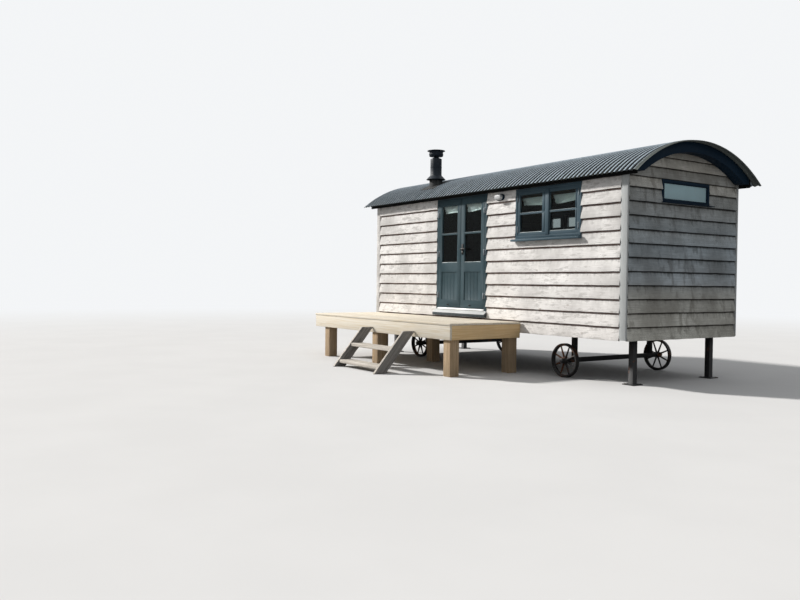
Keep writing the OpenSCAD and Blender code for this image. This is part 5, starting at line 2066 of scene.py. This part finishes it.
@dataclass
class Chassis:
    """Steel rails, axles, stands and prop legs under the hut."""

    stand_bolt: float = 0.05
    foot_bolt: float = 0.38
    foot_plate: float = 10 * MM

    def build(self) -> list[Piece]:
        """Dresses the steel and bolts it together.

        Returns:
            The dressed pieces.
        """
        done = [dress(refine(node, 2 * MM), CHASSIS, "chassis_steel") for node in (
            "chassis_rails", "chassis_cross_members", "axles", "axle_stands", "prop_legs")]
        places = []
        for low, high in parts_of("axle_stands"):
            for z in (low.z + self.stand_bolt, high.z - self.stand_bolt):
                for y, out in ((low.y, -1), (high.y, 1)):
                    places.append(facing(((low.x + high.x) / 2, y, z), (0, out, 0), z))
        for low, high in parts_of("prop_legs"):
            middle, size = (low + high) / 2, (high - low) * self.foot_bolt
            for sx in (-1, 1):
                for sy in (-1, 1):
                    places.append(facing((middle.x + sx * size.x, middle.y + sy * size.y,
                                          low.z + self.foot_plate), (0, 0, 1), sx))
        bolts = scatter("chassis_bolts", hex_head("bolt", 8 * MM, 7 * MM), places)
        return done + [dress(smooth(bolts), CHASSIS, "chassis_steel")]


@dataclass
class Blind:
    """Cloth blind, drawn up in folds under the head of a window."""

    node: str
    finish: Finish
    tilt: float
    part: int = 0
    body: str = ROOT
    fold_parts: tuple[float, ...] = (0.46, 0.72, 1.0)
    columns: int = 60
    rows_per_layer: int = 8
    cords: tuple[float, ...] = (0.1, 0.5, 0.9)
    side_gap: float = 3 * MM
    top_gap: float = 3 * MM
    bottom_gap: float = 13 * MM
    first_layer: float = 4 * MM
    last_layer: float = 5 * MM
    ripple: float = 1.6 * MM
    crown: float = 3 * MM
    tuck: float = 6 * MM
    frames: int = 24
    stiffness: float = 30.0

    @property
    def room(self) -> tuple[Vector, Vector]:
        """The box that the blind hangs in."""
        return parts_of(self.node)[self.part]

    @property
    def width(self) -> float:
        """Width of the cloth."""
        low, high = self.room
        return high.x - low.x - 2 * self.side_gap

    def build(self) -> list[Piece]:
        """Folds the cloth, lets it hang from its cords and gives it its thickness.

        Returns:
            The dressed cloth.
        """
        cloth = self.fold(f"{self.node}_cloth_{self.part + 1}")
        length = sum(face.area for face in cloth.data.polygons) / self.width
        self.hang(cloth)
        self.keep_in_room(cloth)
        smooth(modify(cloth, "SOLIDIFY", thickness=0.7 * MM, offset=0.0), 80)
        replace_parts(dress(cloth, self.finish, "blind_cloth", self.body), self.node)
        self.width
        LOG.info("%s flat %.3f x %.3f", cloth.name, self.width, length)
        return [cloth]

    def fold(self, name: str) -> Piece:
        """Lays the cloth up in folds, each one longer than the one before it.

        Args:
            name: Name of the cloth.

        Returns:
            The cloth with a vertex group of the points that its cords hold.
        """
        low, high = self.room
        layers = 2 * len(self.fold_parts) - 1
        deselect()
        bpy.ops.mesh.primitive_grid_add(
            x_subdivisions=self.columns, y_subdivisions=layers * self.rows_per_layer, size=1)
        cloth = fresh(name)
        draw = random.Random(name)
        lean = [draw.uniform(-1, 1) for _ in range(layers + 1)]
        height = high.z - low.z - self.top_gap - self.bottom_gap
        held = []
        for vert in cloth.data.vertices:
            across, down = vert.co.x + 0.5, (0.5 - vert.co.y) * layers
            layer = min(int(down + 1e-6), layers - 1)
            part, falls = down - layer, layer % 2 == 0
            fall = part if falls else 1 - part
            span = height * self.fold_parts[layer // 2] * (1 + self.tilt * (across - 0.5))
            deep = self.first_layer + down / layers * (
                high.y - low.y - self.first_layer - self.last_layer)
            wave = math.sin(across * (15 + 4 * lean[(layer + 1) // 2]) + 2 * lean[layer])
            crown = self.crown * math.sin(math.pi * part) * (1 if falls else -1)
            vert.co = (low.x + self.side_gap + across * self.width,
                       low.y + deep + self.ripple * wave * fall - crown * 0.6,
                       high.z - self.top_gap - fall * span
                       - self.tuck * (layer > 0) * (1 - fall))
            if down < 0.01 or (abs(down - round(down)) < 0.01 and round(down) % 2 == 0 and any(
                    abs(across - cord) < 0.6 / self.columns for cord in self.cords)):
                held.append(vert.index)
        cloth.vertex_groups.new(name="cords").add(held, 1.0, "REPLACE")
        return cloth

    def hang(self, cloth: Piece) -> None:
        """Lets the cloth sag between its cords by simulation.

        Args:
            cloth: The folded cloth.
        """
        grab(cloth)
        modifier = cloth.modifiers.new("Cloth", "CLOTH")
        for key, value in dict(
                quality=7, mass=0.25, tension_stiffness=self.stiffness,
                compression_stiffness=self.stiffness, shear_stiffness=12.0,
                bending_stiffness=0.8, air_damping=4.0, vertex_group_mass="cords").items():
            setattr(modifier.settings, key, value)
        modifier.collision_settings.use_collision = False
        modifier.collision_settings.use_self_collision = False
        for step in range(1, self.frames + 1):
            bpy.context.scene.frame_set(step)
        bpy.ops.object.modifier_apply(modifier=modifier.name)
        bpy.context.scene.frame_set(1)

    def keep_in_room(self, cloth: Piece) -> None:
        """Keeps the cloth inside the blind's box and lets go of its cords.

        Args:
            cloth: The cloth, hung before.
        """
        low, high = self.room
        for vert in cloth.data.vertices:
            vert.co = [min(max(c, a + MM), b - MM) for c, a, b in zip(vert.co, low, high)]
        cloth.vertex_groups.clear()


@dataclass
class Studio:
    """Pale floor, soft light and the camera at the photograph's angle."""

    sun_strength: float = 4.35
    sun_from: Point = (-0.72, -0.44, 0.52)
    sun_width: float = 5.0
    sun_colour: Colour = (1.0, 0.97, 0.93)
    diffuse: float = 0.42
    transmission: float = 0.34
    floor_radius: float = 60.0
    camera_place: Point = (9.2405, -7.8132, 1.245)
    camera_angles: Point = (56.20, 1.22, 0.66)
    lens: float = 35.33
    sensor: float = 36.0

    def add(self, data: bpy.types.ID, place: Matrix) -> Piece:
        """Puts a lamp or a camera into the scene.

        Args:
            data: The lamp's or camera's data.
            place: Its place and turn.

        Returns:
            The lamp or camera.
        """
        piece = bpy.data.objects.new(data.name, data)
        piece.matrix_world = place
        bpy.context.collection.objects.link(piece)
        return piece

    def light(self) -> None:
        """Sets up the sun and the world."""
        sun = bpy.data.lights.new("sun", "SUN")
        sun.energy = self.sun_strength
        sun.angle = math.radians(self.sun_width)
        sun.color = self.sun_colour
        self.add(sun, facing((0, 0, 0), self.sun_from))
        world = bpy.context.scene.world = bpy.data.worlds.new("studio")
        world.use_nodes = True
        sheet = Sheet(world.node_tree)
        path = sheet.add("LightPath").outputs
        height = sheet.part(sheet.add("TexCoord").outputs["Generated"], Axis.Z)
        glossy = sheet.level(height, 0.0, 0.7, (0.06, 0.75))
        strength = sheet.choose(path["Is Glossy Ray"], self.diffuse, glossy)
        strength = sheet.choose(path["Is Transmission Ray"], strength, self.transmission)
        strength = sheet.choose(path["Is Camera Ray"], strength, BACKDROP)
        sheet.feed(world.node_tree.nodes["Background"], {"Color": SKY, "Strength": strength})

    def floor(self) -> None:
        """Lays a plain pale floor that fades into the background."""
        deselect()
        bpy.ops.mesh.primitive_circle_add(vertices=96, radius=self.floor_radius,
                                          fill_type="NGON", location=(0, 0, -0.5 * MM))
        floor = fresh("floor_of_studio")
        floor.data.materials.append(material_of(StudioFloor("studio_floor")))

    def camera(self) -> None:
        """Places the camera where the photograph was taken from."""
        yaw, pitch, roll = map(math.radians, self.camera_angles)
        look = Vector((-math.sin(yaw) * math.cos(pitch), math.cos(yaw) * math.cos(pitch),
                       -math.sin(pitch)))
        right = Vector((math.cos(yaw), math.sin(yaw), 0))
        up = right.cross(look)
        side = right * math.cos(roll) + up * math.sin(roll)
        top = up * math.cos(roll) - right * math.sin(roll)
        data = bpy.data.cameras.new("camera")
        data.lens = self.lens
        data.sensor_width = self.sensor
        data.clip_end = 300
        turn = Matrix((side, top, -look)).transposed().to_4x4()
        scene = bpy.context.scene
        scene.camera = self.add(data, Matrix.Translation(self.camera_place) @ turn)
        scene.view_settings.view_transform = "Standard"

    def build(self) -> None:
        """Sets the whole studio up."""
        self.light()
        self.floor()
        self.camera()


def main() -> None:
    """Builds the hut's looks piece by piece."""
    logging.basicConfig(level=logging.INFO, format="%(name)s %(message)s")
    Studio().build()
    for sub_assembly in (
            Cladding(), Roof(), Flue(), Joinery(), Lamp(), Deck(), Wheel(), Chassis(),
            # The door blinds' paler cloth is painted light, the window blinds' darker cloth
            # painted shade.
            Blind("left_door_blind", DOOR_BLIND, -0.06, body=LEFT_LEAF),
            Blind("right_door_blind", DOOR_BLIND, -0.3, body=RIGHT_LEAF),
            Blind("front_window_blind", WINDOW_BLIND, 0.3),
            Blind("front_window_blind", WINDOW_BLIND, -0.4, part=1)):
        for piece in sub_assembly.build():
            LOG.info("%s: %d faces", piece.name, len(piece.data.polygons))
    deselect()


if __name__ == "__main__":
    main()
